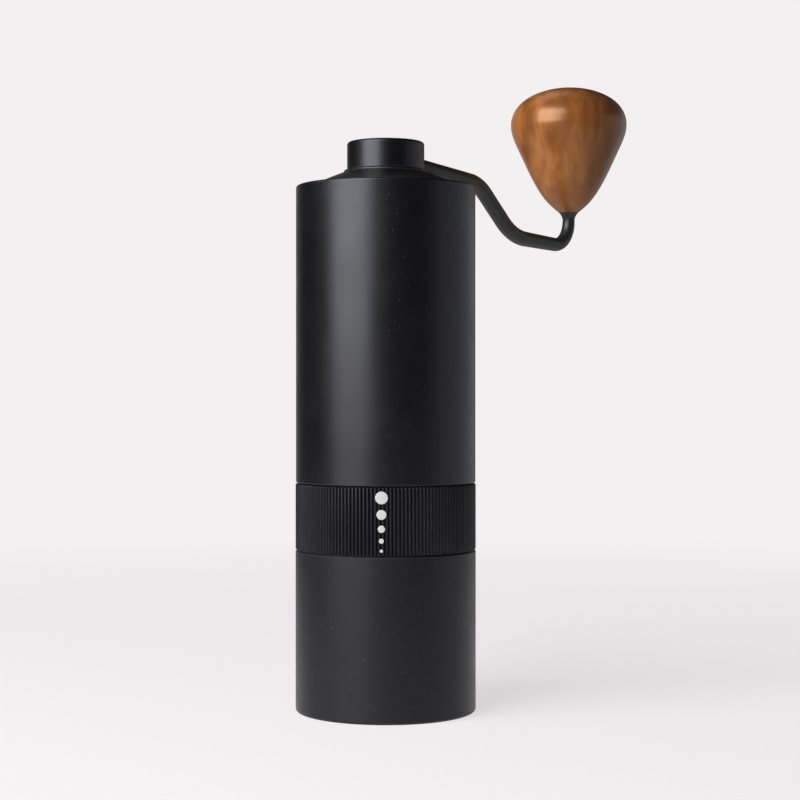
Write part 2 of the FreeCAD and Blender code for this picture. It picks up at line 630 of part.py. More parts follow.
def detent_balls():
    """Two balls that click round the dimples under the inner burr."""
    ball = Part.makeSphere(DETENT_BALL_R, FreeCAD.Vector(DETENT_R, 0, DETENT_Z))
    return Part.makeCompound(around(ball, 2))


def detent_springs():
    """Two small springs under the detent balls."""
    floor_z = DIAL_TOP_Z - DETENT_POCKET_DEPTH + RUN
    spring = coil(0.7, 0.13, floor_z, DETENT_Z - 0.8 * DETENT_BALL_R, 6)
    spring.translate(FreeCAD.Vector(DETENT_R, 0, 0))
    return Part.makeCompound(around(spring, 2))


# --- Catch cup -------------------------------------------------------------------------------------
def catch_cup():
    """Cup that pushes onto the carrier's spigot."""
    foot, corner = CUP_FOOT_EDGE, CUP_CORNER
    return turned([
        (0, 0),
        (CUP_R - foot, 0),
        (CUP_R, foot, CUP_R - ROUND * foot, ROUND * foot),
        (CUP_R, CUP_HEIGHT - EDGE),
        (CUP_R - EDGE, CUP_HEIGHT),
        (CUP_BORE_R + EDGE, CUP_HEIGHT),
        (CUP_BORE_R, CUP_HEIGHT - EDGE),
        (CUP_BORE_R, CUP_FLOOR + corner),
        (CUP_BORE_R - corner, CUP_FLOOR, CUP_BORE_R - ROUND * corner, CUP_FLOOR + ROUND * corner),
        (0, CUP_FLOOR),
    ])


# --- Lid -------------------------------------------------------------------------------------------
def lid():
    """Shallow cone that closes the hopper: lip round the hub, boss for the bush, spigot for the seal."""
    lid_r = LID_SEAT_R - 0.1
    spigot_r = HOPPER_R - SLIP
    top_z = RIM_Z + LID_RISE
    lip_z = top_z + LID_LIP
    lip_in_r = HUB_R + SLIP
    slope_r, slope_z = lip_in_r + LID_LIP_WIDTH, top_z - 0.25
    ledge_r = lid_r - LID_LEDGE
    inner_spigot_r = spigot_r - 2.2
    body = turned([
        (BUSH_R + FIT, top_z),
        (lip_in_r, top_z),
        (lip_in_r, lip_z - 0.1),
        (lip_in_r + 0.1, lip_z),
        (slope_r - 0.35, lip_z),
        (slope_r, slope_z, slope_r - 0.1, lip_z - 0.1),
        (ledge_r, RIM_Z, (slope_r + ledge_r) / 2, (slope_z + RIM_Z) / 2 + LID_BULGE),
        (lid_r - 0.25, RIM_Z),
        (lid_r, RIM_Z - 0.25),
        (lid_r, LID_UNDER_Z + FIT),
        (spigot_r, LID_UNDER_Z + FIT),
        (spigot_r, LID_BOTTOM_Z + EDGE),
        (spigot_r - EDGE, LID_BOTTOM_Z),
        (inner_spigot_r, LID_BOTTOM_Z),
        (inner_spigot_r, RIM_Z - LID_SHELL + 0.4),
        (BOSS_R, top_z - LID_SHELL - 0.6),
        (BOSS_R, BOSS_Z),
        (BUSH_R + FIT, BOSS_Z),
    ])
    flange_recess = tube(0, BUSH_R + BUSH_FLANGE_WIDTH + FIT, BUSH_TOP_Z - BUSH_FLANGE_T - FIT, top_z + 1)
    return body.cut(flange_recess).cut(seal_groove(HOPPER_R, LID_UNDER_Z - LID_SPIGOT_LENGTH / 2))


def lid_bush():
    """Flanged bush in the lid that the crank's journal turns in."""
    inner_r = JOURNAL_R + RUN
    flange = tube(inner_r, BUSH_R + BUSH_FLANGE_WIDTH, BUSH_TOP_Z - BUSH_FLANGE_T, BUSH_TOP_Z)
    return tube(inner_r, BUSH_R, BOSS_Z, BUSH_TOP_Z - BUSH_FLANGE_T).fuse(flange)


# --- Crank -----------------------------------------------------------------------------------------
def arm_centreline():
    """The arm's route from inside the hub to the shoulder under the knob."""
    corners = [
        (ARM_ROOT_X, ARM_Z - ARM_SLOPE * ARM_ROOT_X),
        (SHOULDER_X, SHOULDER_Z),
        (ELBOW_X, ELBOW_Z),
        (CRANK_REACH, STEM_FOOT_Z),
        (CRANK_REACH, STEM_TOP_Z),
    ]
    return rounded_path(corners, [SHOULDER_BEND, ELBOW_BEND, STEM_BEND])


def swept_rod(edges, start_r, end_r):
    """Round rod along flat, joined edges, tapering evenly from one end to the other."""
    shell = Part.BRepOffsetAPI.MakePipeShell(Part.Wire(edges))
    shell.setBiNormalMode(FreeCAD.Vector(0, 1, 0))
    first, last = edges[0], edges[-1]
    for edge, at, r in ((first, first.FirstParameter, start_r), (last, last.LastParameter, end_r)):
        shell.add(Part.Wire(Part.makeCircle(r, edge.valueAt(at), edge.tangentAt(at))))
    shell.build()
    shell.makeSolid()
    return shell.shape()


def crank_arm():
    """Bent rod, tapering past the elbow and turned down at its end as the knob's axle."""
    edges = arm_centreline().OrderedEdges
    upper = swept_rod(edges[:4], ARM_ROOT_R, ARM_ELBOW_R)
    lower = swept_rod(edges[4:], ARM_ELBOW_R, ARM_TIP_R)
    base = FreeCAD.Vector(CRANK_REACH, 0, STEM_TOP_Z - 0.5)
    axle = Part.makeCylinder(AXLE_R, AXLE_TOP_Z - STEM_TOP_Z + 0.5, base)
    thread = Part.makeCylinder(KNOB_SCREW_R + FIT, 6.0, FreeCAD.Vector(CRANK_REACH, 0, AXLE_TOP_Z - 5.8))
    return upper.fuse([lower, axle]).cut(thread)


SET_SCREW_R = 1.5


def crank_hub():
    """Cap on the lid: hex socket for the shaft, journal for the bush, hole for the arm."""
    body = turned([
        (0, JOURNAL_Z),
        (JOURNAL_R - 0.3, JOURNAL_Z),
        (JOURNAL_R, JOURNAL_Z + 0.3),
        (JOURNAL_R, HUB_Z),
        (HUB_R - 0.4, HUB_Z),
        (HUB_R, HUB_Z + 0.4),
        (HUB_R, HUB_TOP_Z - HUB_EDGE),
        (HUB_R - HUB_EDGE, HUB_TOP_Z, HUB_R - ROUND * HUB_EDGE, HUB_TOP_Z - ROUND * HUB_EDGE),
        (0, HUB_TOP_Z),
    ])
    socket = hexagon(HEX_FLATS + 2 * RUN, JOURNAL_Z - 1, SOCKET_TOP_Z)
    groove = tube(JOURNAL_R - 0.5, JOURNAL_R + 2, CLIP_Z, CLIP_Z + CLIP_T + FIT)
    run = SHOULDER_X - ARM_ROOT_X
    start = FreeCAD.Vector(ARM_ROOT_X, 0, ARM_Z - ARM_SLOPE * ARM_ROOT_X)
    arm_hole = Part.makeCylinder(ARM_ROOT_R + FIT, run, start, FreeCAD.Vector(1, 0, -ARM_SLOPE))
    screw_hole_z = ARM_Z - ARM_SLOPE * SET_SCREW_X
    top_hole = Part.makeCylinder(
        SET_SCREW_R + FIT, HUB_TOP_Z - screw_hole_z + 1, FreeCAD.Vector(SET_SCREW_X, 0, screw_hole_z)
    )
    return body.cut(Part.makeCompound([socket, groove]).fuse([arm_hole, top_hole]))


def arm_set_screw():
    """Socket grub screw that clamps the arm in the hub."""
    low_z = ARM_Z - ARM_SLOPE * SET_SCREW_X + (ARM_ROOT_R + FIT) * math.sqrt(1 + ARM_SLOPE**2) + 0.12
    high_z = HUB_TOP_Z - 0.35
    screw = tube(0, SET_SCREW_R, low_z, high_z).cut(hexagon(1.5, high_z - 1.0, high_z + 1))
    screw.translate(FreeCAD.Vector(SET_SCREW_X, 0, 0))
    return screw


def lid_clip():
    """Snap ring on the journal that keeps the lid on the crank."""
    return snap_ring(JOURNAL_R - 0.5 + FIT, JOURNAL_R + 1.3, CLIP_Z + FIT / 2, False)


KNOB_SCREW_R = 0.8
KNOB_SCREW_HEAD_R = 1.9
KNOB_SCREW_HEAD_T = 1.5
KNOB_SCREW_LENGTH = 5.0


def knob_washer():
    """Washer that keeps the knob on its axle."""
    washer = tube(KNOB_SCREW_R + FIT, FERRULE_R - SLIP, AXLE_TOP_Z + FIT, AXLE_TOP_Z + FIT + WASHER_T)
    washer.translate(FreeCAD.Vector(CRANK_REACH, 0, 0))
    return washer


def knob_screw():
    """Socket screw in the end of the axle."""
    seat_z = AXLE_TOP_Z + 2 * FIT + WASHER_T
    head = tube(0, KNOB_SCREW_HEAD_R, seat_z, seat_z + KNOB_SCREW_HEAD_T)
    shank = tube(0, KNOB_SCREW_R, seat_z - KNOB_SCREW_LENGTH, seat_z)
    screw = head.fuse(shank).cut(hexagon(1.5, seat_z + 0.6, seat_z + KNOB_SCREW_HEAD_T + 1))
    screw.translate(FreeCAD.Vector(CRANK_REACH, 0, 0))
    return screw


# --- Knob ------------------------------------------------------------------------------------------
def knob_ferrule():
    """Flared collar and sleeve, fixed in the wood, that turns on the axle."""
    low_z = STEM_TOP_Z + RUN
    foot_r = ARM_TIP_R - 0.05
    ferrule = turned([
        (AXLE_R + RUN, low_z),
        (foot_r, low_z),
        (KNOB_FOOT_R - 0.1, KNOB_Z - FIT, foot_r + 0.38, low_z + 0.58 * FERRULE_FLARE),
        (FERRULE_R, KNOB_Z - FIT),
        (FERRULE_R, FERRULE_TOP_Z),
        (AXLE_R + RUN, FERRULE_TOP_Z),
    ])
    ferrule.translate(FreeCAD.Vector(CRANK_REACH, 0, 0))
    return ferrule


def wooden_knob():
    """Turned knob: rounded foot, long swelling flank, tight shoulder, domed top, blind bore."""
    top_z = KNOB_Z + KNOB_HEIGHT
    waist_z = KNOB_Z + KNOB_WAIST
    above = KNOB_HEIGHT - KNOB_WAIST
    flank = [
        FreeCAD.Vector(KNOB_FOOT_R, 0, KNOB_Z),
        FreeCAD.Vector(0.316 * KNOB_R, 0, KNOB_Z + 0.081 * KNOB_WAIST),
        FreeCAD.Vector(0.619 * KNOB_R, 0, KNOB_Z + 0.358 * KNOB_WAIST),
        FreeCAD.Vector(0.866 * KNOB_R, 0, KNOB_Z + 0.69 * KNOB_WAIST),
        FreeCAD.Vector(KNOB_R, 0, waist_z),
        FreeCAD.Vector(0.90 * KNOB_R, 0, waist_z + 0.42 * above),
        FreeCAD.Vector(0.635 * KNOB_R, 0, waist_z + 0.774 * above),
        FreeCAD.Vector(0, 0, top_z),
    ]
    curve = Part.BSplineCurve()
    curve.interpolate(
        Points=flank, InitialTangent=FreeCAD.Vector(1, 0, 0.85), FinalTangent=FreeCAD.Vector(-1, 0, 0)
    )
    bore_top_z = AXLE_TOP_Z + 2 * FIT + WASHER_T + KNOB_SCREW_HEAD_T + 1.2
    bore_r = FERRULE_R + FIT
    rest = [(0, top_z), (0, bore_top_z), (bore_r, bore_top_z), (bore_r, KNOB_Z), (KNOB_FOOT_R, KNOB_Z)]
    points = [FreeCAD.Vector(x, 0, z) for x, z in rest]
    edges = [curve.toShape()] + [Part.LineSegment(a, b).toShape() for a, b in zip(points, points[1:])]
    knob = Part.Face(Part.Wire(edges)).revolve(ORIGIN, Z_AXIS, 360)
    knob.translate(FreeCAD.Vector(CRANK_REACH, 0, 0))
    return knob


# --- Everything ------------------------------------------------------------------------------------
def all_parts():
    """Every node's shape by name."""
    parts = {
        "barrel": barrel(),
        "grip_sleeve": grip_sleeve(),
        "burr_carrier": burr_carrier(),
        "carrier_screws": carrier_screws(),
        "ring_burr": ring_burr(),
        "burr_lock_ring": burr_lock_ring(),
        "cup_seal": seal_ring(CUP_BORE_R, SPIGOT_Z + SPIGOT_LENGTH / 2),
        "upper_bridge": upper_bridge(),
        "bridge_clip": bridge_clip(),
        "drive_shaft": drive_shaft(),
        "shaft_clip": shaft_clip(),
        "spring_washer": spring_washer(),
        "main_spring": main_spring(),
        "inner_burr": inner_burr(),
        "adjust_dial": adjust_dial(),
        "detent_balls": detent_balls(),
        "detent_springs": detent_springs(),
        "catch_cup": catch_cup(),
        "lid": lid(),
        "lid_seal": seal_ring(HOPPER_R, LID_UNDER_Z - LID_SPIGOT_LENGTH / 2),
        "lid_bush": lid_bush(),
        "lid_clip": lid_clip(),
        "crank_hub": crank_hub(),
        "crank_arm": crank_arm(),
        "arm_set_screw": arm_set_screw(),
        "knob_washer": knob_washer(),
        "knob_screw": knob_screw(),
        "knob_ferrule": knob_ferrule(),
        "wooden_knob": wooden_knob(),
    }
    for place, low_z in (("upper", UPPER_BEARING_Z), ("lower", LOWER_BEARING_Z)):
        for piece, shape in bearing(low_z).items():
            parts[f"{place}_bearing_{piece}"] = shape
    return parts


def main():
    """Writes one STEP file for each node."""
    os.makedirs("parts", exist_ok=True)
    for name, shape in all_parts().items():
        solids = shape.Solids
        if not shape.isValid() or any(s.Volume <= 0 for s in solids):
            print("NOT VALID:", name, len(solids), [round(s.Volume, 3) for s in solids])
        body = solids[0] if len(solids) == 1 else Part.makeCompound(solids)
        print(f"{name:28s} {len(solids)} solids {len(shape.Faces):5d} faces {body.Volume:10.2f} mm3")
        body.exportStep(os.path.join("parts", name + ".step"))


main()
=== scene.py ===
"""Looks of a slim hand crank coffee grinder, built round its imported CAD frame.

The frame gives every place and size in metres. The CAD nodes keep their shapes and get full finishes; the
ribbed sleeve, the crank arm, the knob and the springs are remade as finer surfaces in the same places.
"""

import json
import logging
import math
from dataclasses import dataclass
from enum import Enum
from typing import Any, Sequence

import bpy
import numpy as np
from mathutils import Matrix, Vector


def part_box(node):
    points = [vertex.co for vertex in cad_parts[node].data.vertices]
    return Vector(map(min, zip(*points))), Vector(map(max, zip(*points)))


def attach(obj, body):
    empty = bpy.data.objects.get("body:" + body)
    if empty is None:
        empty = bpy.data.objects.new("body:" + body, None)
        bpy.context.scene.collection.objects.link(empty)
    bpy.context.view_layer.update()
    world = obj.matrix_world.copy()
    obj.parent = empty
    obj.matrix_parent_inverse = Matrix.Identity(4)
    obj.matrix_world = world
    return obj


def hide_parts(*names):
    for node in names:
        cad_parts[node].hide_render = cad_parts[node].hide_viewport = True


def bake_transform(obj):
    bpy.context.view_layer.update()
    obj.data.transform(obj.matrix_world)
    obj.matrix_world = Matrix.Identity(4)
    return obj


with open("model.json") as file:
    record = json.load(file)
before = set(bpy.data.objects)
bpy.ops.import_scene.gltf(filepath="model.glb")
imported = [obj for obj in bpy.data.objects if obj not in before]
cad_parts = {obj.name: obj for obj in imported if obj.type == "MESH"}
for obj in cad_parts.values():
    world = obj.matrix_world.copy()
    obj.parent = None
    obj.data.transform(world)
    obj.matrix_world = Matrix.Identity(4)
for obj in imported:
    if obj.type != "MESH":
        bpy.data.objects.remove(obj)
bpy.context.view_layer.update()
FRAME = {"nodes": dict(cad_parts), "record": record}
LOG = logging.getLogger("grinder")

MM = 0.001
ON_AXIS = 1e-9                              # a radius this small is a pole
Colour = tuple[float, float, float]
COOL: Colour = (0.90, 0.91, 1.0)            # slight blue of black dyed aluminium in its reflections
WORN_EDGE_AND_HIGHLIGHT: Colour = (0.22, 0.22, 0.23)     # dyed aluminium rubbed thin along its edges, light enough to be a painted highlight there
METAL_DUST: Colour = (0.5, 0.49, 0.47)
PLASTIC_DUST: Colour = (0.4, 0.38, 0.35)
Socket = bpy.types.NodeSocket


class Body(Enum):
    """Bodies of the frame that a new piece can ride on."""

    BODY = "body"
    SHAFT = "shaft"
    BURR = "burr"
    DIAL = "dial"
    CRANK = "crank"
    KNOB = "knob"


class Metal(Enum):
    """How a metal surface was left by the maker."""

    BLASTED = "fine blasting all over"
    TURNED = "rings round the vertical axis"
    GROUND = "crossed grinding marks"


# --- Node trees ------------------------------------------------------------------------------------
class Graph:
    """A node tree wired from code, where a value is a number, a colour or another node's output."""

    def __init__(self, tree: bpy.types.NodeTree) -> None:
        """Wraps an empty tree."""
        self.tree = tree

    def add(self, kind: str, **settings: Any) -> bpy.types.Node:
        """Adds a node.

        Args:
            kind: The node's type without its "ShaderNode" prefix.
            settings: Values for the node's own properties.

        Returns:
            The new node.
        """
        node = self.tree.nodes.new("ShaderNode" + kind)
        for name, value in settings.items():
            setattr(node, name, value)
        return node

    def feed(self, socket: Socket, value: Any) -> None:
        """Links an output to the socket, or sets the socket's own value."""
        if isinstance(value, bpy.types.NodeSocket):
            self.tree.links.new(value, socket)
        elif isinstance(value, tuple) and len(value) == 3 and socket.type == "RGBA":
            socket.default_value = (*value, 1.0)
        else:
            socket.default_value = value

    def math(self, operation: str, *values: Any, clamp: bool = False) -> Socket:
        """Result of a Math node on up to three values."""
        node = self.add("Math", operation=operation, use_clamp=clamp)
        for socket, value in zip(node.inputs, values):
            self.feed(socket, value)
        return node.outputs[0]

    def vector(self, operation: str, *values: Any) -> Socket:
        """Vector result of a Vector Math node."""
        node = self.add("VectorMath", operation=operation)
        for socket, value in zip(node.inputs, values):
            self.feed(socket, value)
        return node.outputs["Value" if operation in ("LENGTH", "DOT_PRODUCT") else "Vector"]

    def blend(self, factor: Any, first: Any, second: Any) -> Socket:
        """Colour between two colours."""
        node = self.add("Mix", data_type="RGBA")
        for name, value in (("Factor_Float", factor), ("A_Color", first), ("B_Color", second)):
            self.feed(next(s for s in node.inputs if s.identifier == name), value)
        return next(s for s in node.outputs if s.identifier == "Result_Color")

    def span(self, value: Any, low: float, high: float, start: float = 0.0, end: float = 1.0) -> Socket:
        """Value carried smoothly from low..high to start..end, and held at the ends."""
        node = self.add("MapRange", interpolation_type="SMOOTHSTEP")
        names = ("Value", "From Min", "From Max", "To Min", "To Max")
        for name, number in zip(names, (value, low, high, start, end)):
            self.feed(node.inputs[name], number)
        return node.outputs["Result"]

    def noise(self, place: Any, scale: Any, detail: float = 2.0, roughness: float = 0.5) -> Socket:
        """Grey value of a Noise texture."""
        node = self.add("TexNoise")
        for name, value in zip(("Vector", "Scale", "Detail", "Roughness"), (place, scale, detail, roughness)):
            self.feed(node.inputs[name], value)
        return node.outputs[0]

    def stretch(self, place: Any, scale: Sequence[float], shift: Sequence[float] = (0, 0, 0)) -> Socket:
        """Place scaled along each axis, then shifted, by a Mapping node."""
        node = self.add("Mapping")
        self.feed(node.inputs["Vector"], place)
        node.inputs["Scale"].default_value = scale
        node.inputs["Location"].default_value = shift
        return node.outputs[0]

    def here(self) -> Socket:
        """Object coordinates, in metres."""
        return self.add("TexCoord").outputs["Object"]

    def split(self, place: Any) -> tuple[Socket, Socket, Socket]:
        """The three parts of a vector."""
        node = self.add("SeparateXYZ")
        self.feed(node.inputs[0], place)
        return node.outputs[0], node.outputs[1], node.outputs[2]


class SharedGroups:
    """Shader groups that several finishes place, each built once."""

    edge_lean: tuple[float, float] = (0.01, 0.12)
    edge_breakup: float = 900.0
    coarser: float = 6.0
    streak: float = 0.12
    blotch: tuple[float, float] = (0.35, 0.7)
    speck_grain: float = 2400.0
    speck: tuple[float, float] = (0.72, 0.8)

    def __init__(self) -> None:
        """Builds every group."""
        self.edge_wear_and_highlight = self._edge_wear_and_highlight()
        self.blasting = self._blasting()
        self.turning = self._turning()
        self.handling = self._handling()

    @staticmethod
    def _group(name: str, inputs: dict[str, float], outputs: Sequence[str]) -> tuple[Graph, Any, Any]:
        """Starts a group with number inputs and outputs.

        Args:
            name: The group's name.
            inputs: Each input's name and default.
            outputs: The outputs' names.

        Returns:
            The group's graph, its input node's outputs and its output node's inputs.
        """
        tree = bpy.data.node_groups.new(name, "ShaderNodeTree")
        for label, default in inputs.items():
            socket = tree.interface.new_socket(label, in_out="INPUT", socket_type="NodeSocketFloat")
            socket.default_value = default
        for label in outputs:
            tree.interface.new_socket(label, in_out="OUTPUT", socket_type="NodeSocketFloat")
        enter, leave = tree.nodes.new("NodeGroupInput"), tree.nodes.new("NodeGroupOutput")
        return Graph(tree), enter.outputs, leave.inputs

    def _edge_wear_and_highlight(self) -> bpy.types.NodeTree:
        """Mask of outer edges: how far a rounded normal leans from the flat one, broken up by noise."""
        # This mask carries wear on bare metal and painted edge highlights on black dyed aluminium.
        graph, given, result = self._group("edge_wear_and_highlight", {"Width": 0.0004, "Breakup": 0.5}, ["Mask"])
        bevel = graph.add("Bevel", samples=4)
        graph.feed(bevel.inputs["Radius"], given["Width"])
        flat = graph.add("NewGeometry").outputs["Normal"]
        lean = graph.math("SUBTRACT", 1.0, graph.vector("DOT_PRODUCT", bevel.outputs[0], flat))
        edge = graph.span(lean, *self.edge_lean)
        grain = graph.span(graph.noise(graph.here(), self.edge_breakup, 4.0, 0.6), 0.35, 0.65)
        kept = graph.math("SUBTRACT", 1.0, graph.math("MULTIPLY", given["Breakup"], grain))
        graph.feed(result["Mask"], graph.math("MULTIPLY", edge, kept, clamp=True))
        return graph.tree

    def _blasting(self) -> bpy.types.NodeTree:
        """Height and tint of a fine blasted skin: two sizes of round-grained noise."""
        graph, given, result = self._group("fine_blasting", {"Grain": 5200.0}, ["Height", "Tint"])
        place = graph.here()
        fine = graph.noise(place, given["Grain"], 2.0, 0.6)
        broad = graph.noise(place, graph.math("DIVIDE", given["Grain"], self.coarser), 3.0, 0.55)
        height = graph.math("ADD", graph.math("MULTIPLY", fine, 0.75), graph.math("MULTIPLY", broad, 0.25))
        graph.feed(result["Height"], height)
        graph.feed(result["Tint"], graph.math("MULTIPLY_ADD", fine, 0.6, graph.math("MULTIPLY", broad, 0.4)))
        return graph.tree

    def _turning(self) -> bpy.types.NodeTree:
        """Height of a lathe tool's marks: noise read only by height and by distance from the axis."""
        inputs = {"Fineness": 9000.0, "Axis X": 0.0}
        graph, given, result = self._group("turning_marks", inputs, ["Height", "Tint"])
        x, y, z = graph.split(graph.here())
        flat = graph.add("CombineXYZ")
        graph.feed(flat.inputs[0], graph.math("SUBTRACT", x, given["Axis X"]))
        graph.feed(flat.inputs[1], y)
        radius = graph.vector("LENGTH", flat.outputs[0])
        place = graph.add("CombineXYZ")
        graph.feed(place.inputs[0], graph.math("MULTIPLY", radius, given["Fineness"]))
        graph.feed(place.inputs[1], graph.math("MULTIPLY", z, given["Fineness"]))
        marks = graph.noise(place.outputs[0], 1.0, 3.0, 0.6)
        graph.feed(result["Height"], marks)
        graph.feed(result["Tint"], graph.noise(place.outputs[0], self.streak, 2.0, 0.5))
        return graph.tree

    def _handling(self) -> bpy.types.NodeTree:
        """Mask of the faint, blotchy sheen that hands leave, and of dust specks."""
        graph, given, result = self._group("handling", {"Size": 55.0}, ["Sheen", "Dust"])
        place = graph.here()
        blotch = graph.noise(place, given["Size"], 4.0, 0.62)
        graph.feed(result["Sheen"], graph.span(blotch, *self.blotch))
        specks = graph.noise(place, self.speck_grain, 1.0, 0.4)
        graph.feed(result["Dust"], graph.span(specks, *self.speck))
        return graph.tree


class Finish:
    """A material under way: its graph, its Principled shader and its groups."""

    def __init__(self, name: str, groups: SharedGroups) -> None:
        """Starts a material with one Principled shader."""
        self.material = bpy.data.materials.new(name)
        self.material.use_nodes = True
        self.graph = Graph(self.material.node_tree)
        self.groups = groups
        self.shader = self.material.node_tree.nodes["Principled BSDF"]

    def set(self, **sockets: Any) -> None:
        """Feeds the shader's sockets, named with underscores for spaces."""
        for name, value in sockets.items():
            self.graph.feed(self.shader.inputs[name.replace("_", " ")], value)

    def place(self, tree: bpy.types.NodeTree, **inputs: Any) -> bpy.types.Node:
        """Places a shared group with its own values."""
        node = self.graph.add("Group", node_tree=tree)
        for name, value in inputs.items():
            self.graph.feed(node.inputs[name.replace("_", " ")], value)
        return node

    def bump(self, height: Any, depth: float) -> None:
        """Feeds the shader's normal from a height in units of depth, in metres."""
        node = self.graph.add("Bump")
        node.inputs["Strength"].default_value = 1.0
        node.inputs["Distance"].default_value = depth
        self.graph.feed(node.inputs["Height"], height)
        self.graph.feed(self.shader.inputs["Normal"], node.outputs[0])


@dataclass(frozen=True)
class MetalFinish:
    """A bare or coated metal."""

    name: str
    colour: Colour
    roughness: float
    metallic: float = 1.0
    skin: Metal = Metal.BLASTED
    grain: float = 5200.0
    depth: float = 0.000004
    wear_and_highlight_colour: Colour = (0.35, 0.35, 0.36)
    wear_and_highlight: float = 0.25
    wear_and_highlight_width: float = 0.0004
    variation: float = 0.12
    axis_x: float = 0.0
    specular: float = 0.5
    tint: Colour = (1.0, 1.0, 1.0)
    crossing: tuple[float, float, float] = (5200.0, 300.0, 5200.0)
    dust_share: float = 0.12
    sheen_share: float = -0.14
    rough_spread: float = 0.12

    def build(self, groups: SharedGroups) -> bpy.types.Material:
        """Makes the material: skin pattern, handling sheen, dust and worn edges over the base colour; on
        black dyed aluminium the lighter edges are a painted highlight as well as wear.
        """
        finish = Finish(self.name, groups)
        graph = finish.graph
        if self.skin is Metal.BLASTED:
            skin = finish.place(groups.blasting, Grain=self.grain)
        else:
            skin = finish.place(groups.turning, Fineness=self.grain, Axis_X=self.axis_x)
        height, tint = skin.outputs["Height"], skin.outputs["Tint"]
        if self.skin is Metal.GROUND:
            crossed = graph.noise(graph.stretch(graph.here(), self.crossing), 1.0, 3.0, 0.6)
            crossed = graph.math("MULTIPLY", crossed, 0.6)
            height = graph.math("ADD", graph.math("MULTIPLY", height, 0.4), crossed)
        handling = finish.place(groups.handling)
        dark = tuple(c * (1 - self.variation) for c in self.colour)
        light = tuple(min(1.0, c * (1 + self.variation)) for c in self.colour)
        colour = graph.blend(graph.span(tint, 0.35, 0.65), dark, light)
        # Lighter edges: wear on the bare metals, and on the black dyed aluminium a painted highlight along
        # its rims.
        wear_and_highlight = finish.place(groups.edge_wear_and_highlight, Width=self.wear_and_highlight_width, Breakup=0.6).outputs["Mask"]
        colour = graph.blend(graph.math("MULTIPLY", wear_and_highlight, self.wear_and_highlight), colour, self.wear_and_highlight_colour)
        dust = graph.math("MULTIPLY", handling.outputs["Dust"], self.dust_share)
        colour = graph.blend(dust, colour, METAL_DUST)
        sheen = graph.math("MULTIPLY", handling.outputs["Sheen"], self.sheen_share * self.roughness)
        rough = graph.math("ADD", self.roughness, sheen)
        uneven = graph.math("MULTIPLY", graph.math("SUBTRACT", tint, 0.5), self.rough_spread)
        rough = graph.math("ADD", rough, uneven)
        finish.set(Base_Color=colour, Roughness=rough, Metallic=self.metallic)
        finish.set(Specular_IOR_Level=self.specular, Specular_Tint=self.tint)
        finish.bump(height, self.depth)
        return finish.material


@dataclass(frozen=True)
class MouldedFinish:
    """A moulded plastic or rubber."""

    name: str
    colour: Colour
    roughness: float
    grain: float = 3000.0
    depth: float = 0.000006
    sheen: float = 0.0
    dust_share: float = 0.2
    sheen_share: float = 0.08

    def build(self, groups: SharedGroups) -> bpy.types.Material:
        """Makes the material: fine mould texture, slight colour change and settled dust."""
        finish = Finish(self.name, groups)
        graph = finish.graph
        skin = finish.place(groups.blasting, Grain=self.grain)
        handling = finish.place(groups.handling, Size=140.0)
        dark = tuple(c * 0.85 for c in self.colour)
        light = tuple(min(1.0, c * 1.12) for c in self.colour)
        colour = graph.blend(skin.outputs["Tint"], dark, light)
        dust = graph.math("MULTIPLY", handling.outputs["Dust"], self.dust_share)
        colour = graph.blend(dust, colour, PLASTIC_DUST)
        handled = graph.math("MULTIPLY", handling.outputs["Sheen"], self.sheen_share)
        rough = graph.math("SUBTRACT", self.roughness, handled)
        finish.set(Base_Color=colour, Roughness=rough, Sheen_Weight=self.sheen)
        finish.bump(skin.outputs["Height"], self.depth)
        return finish.material


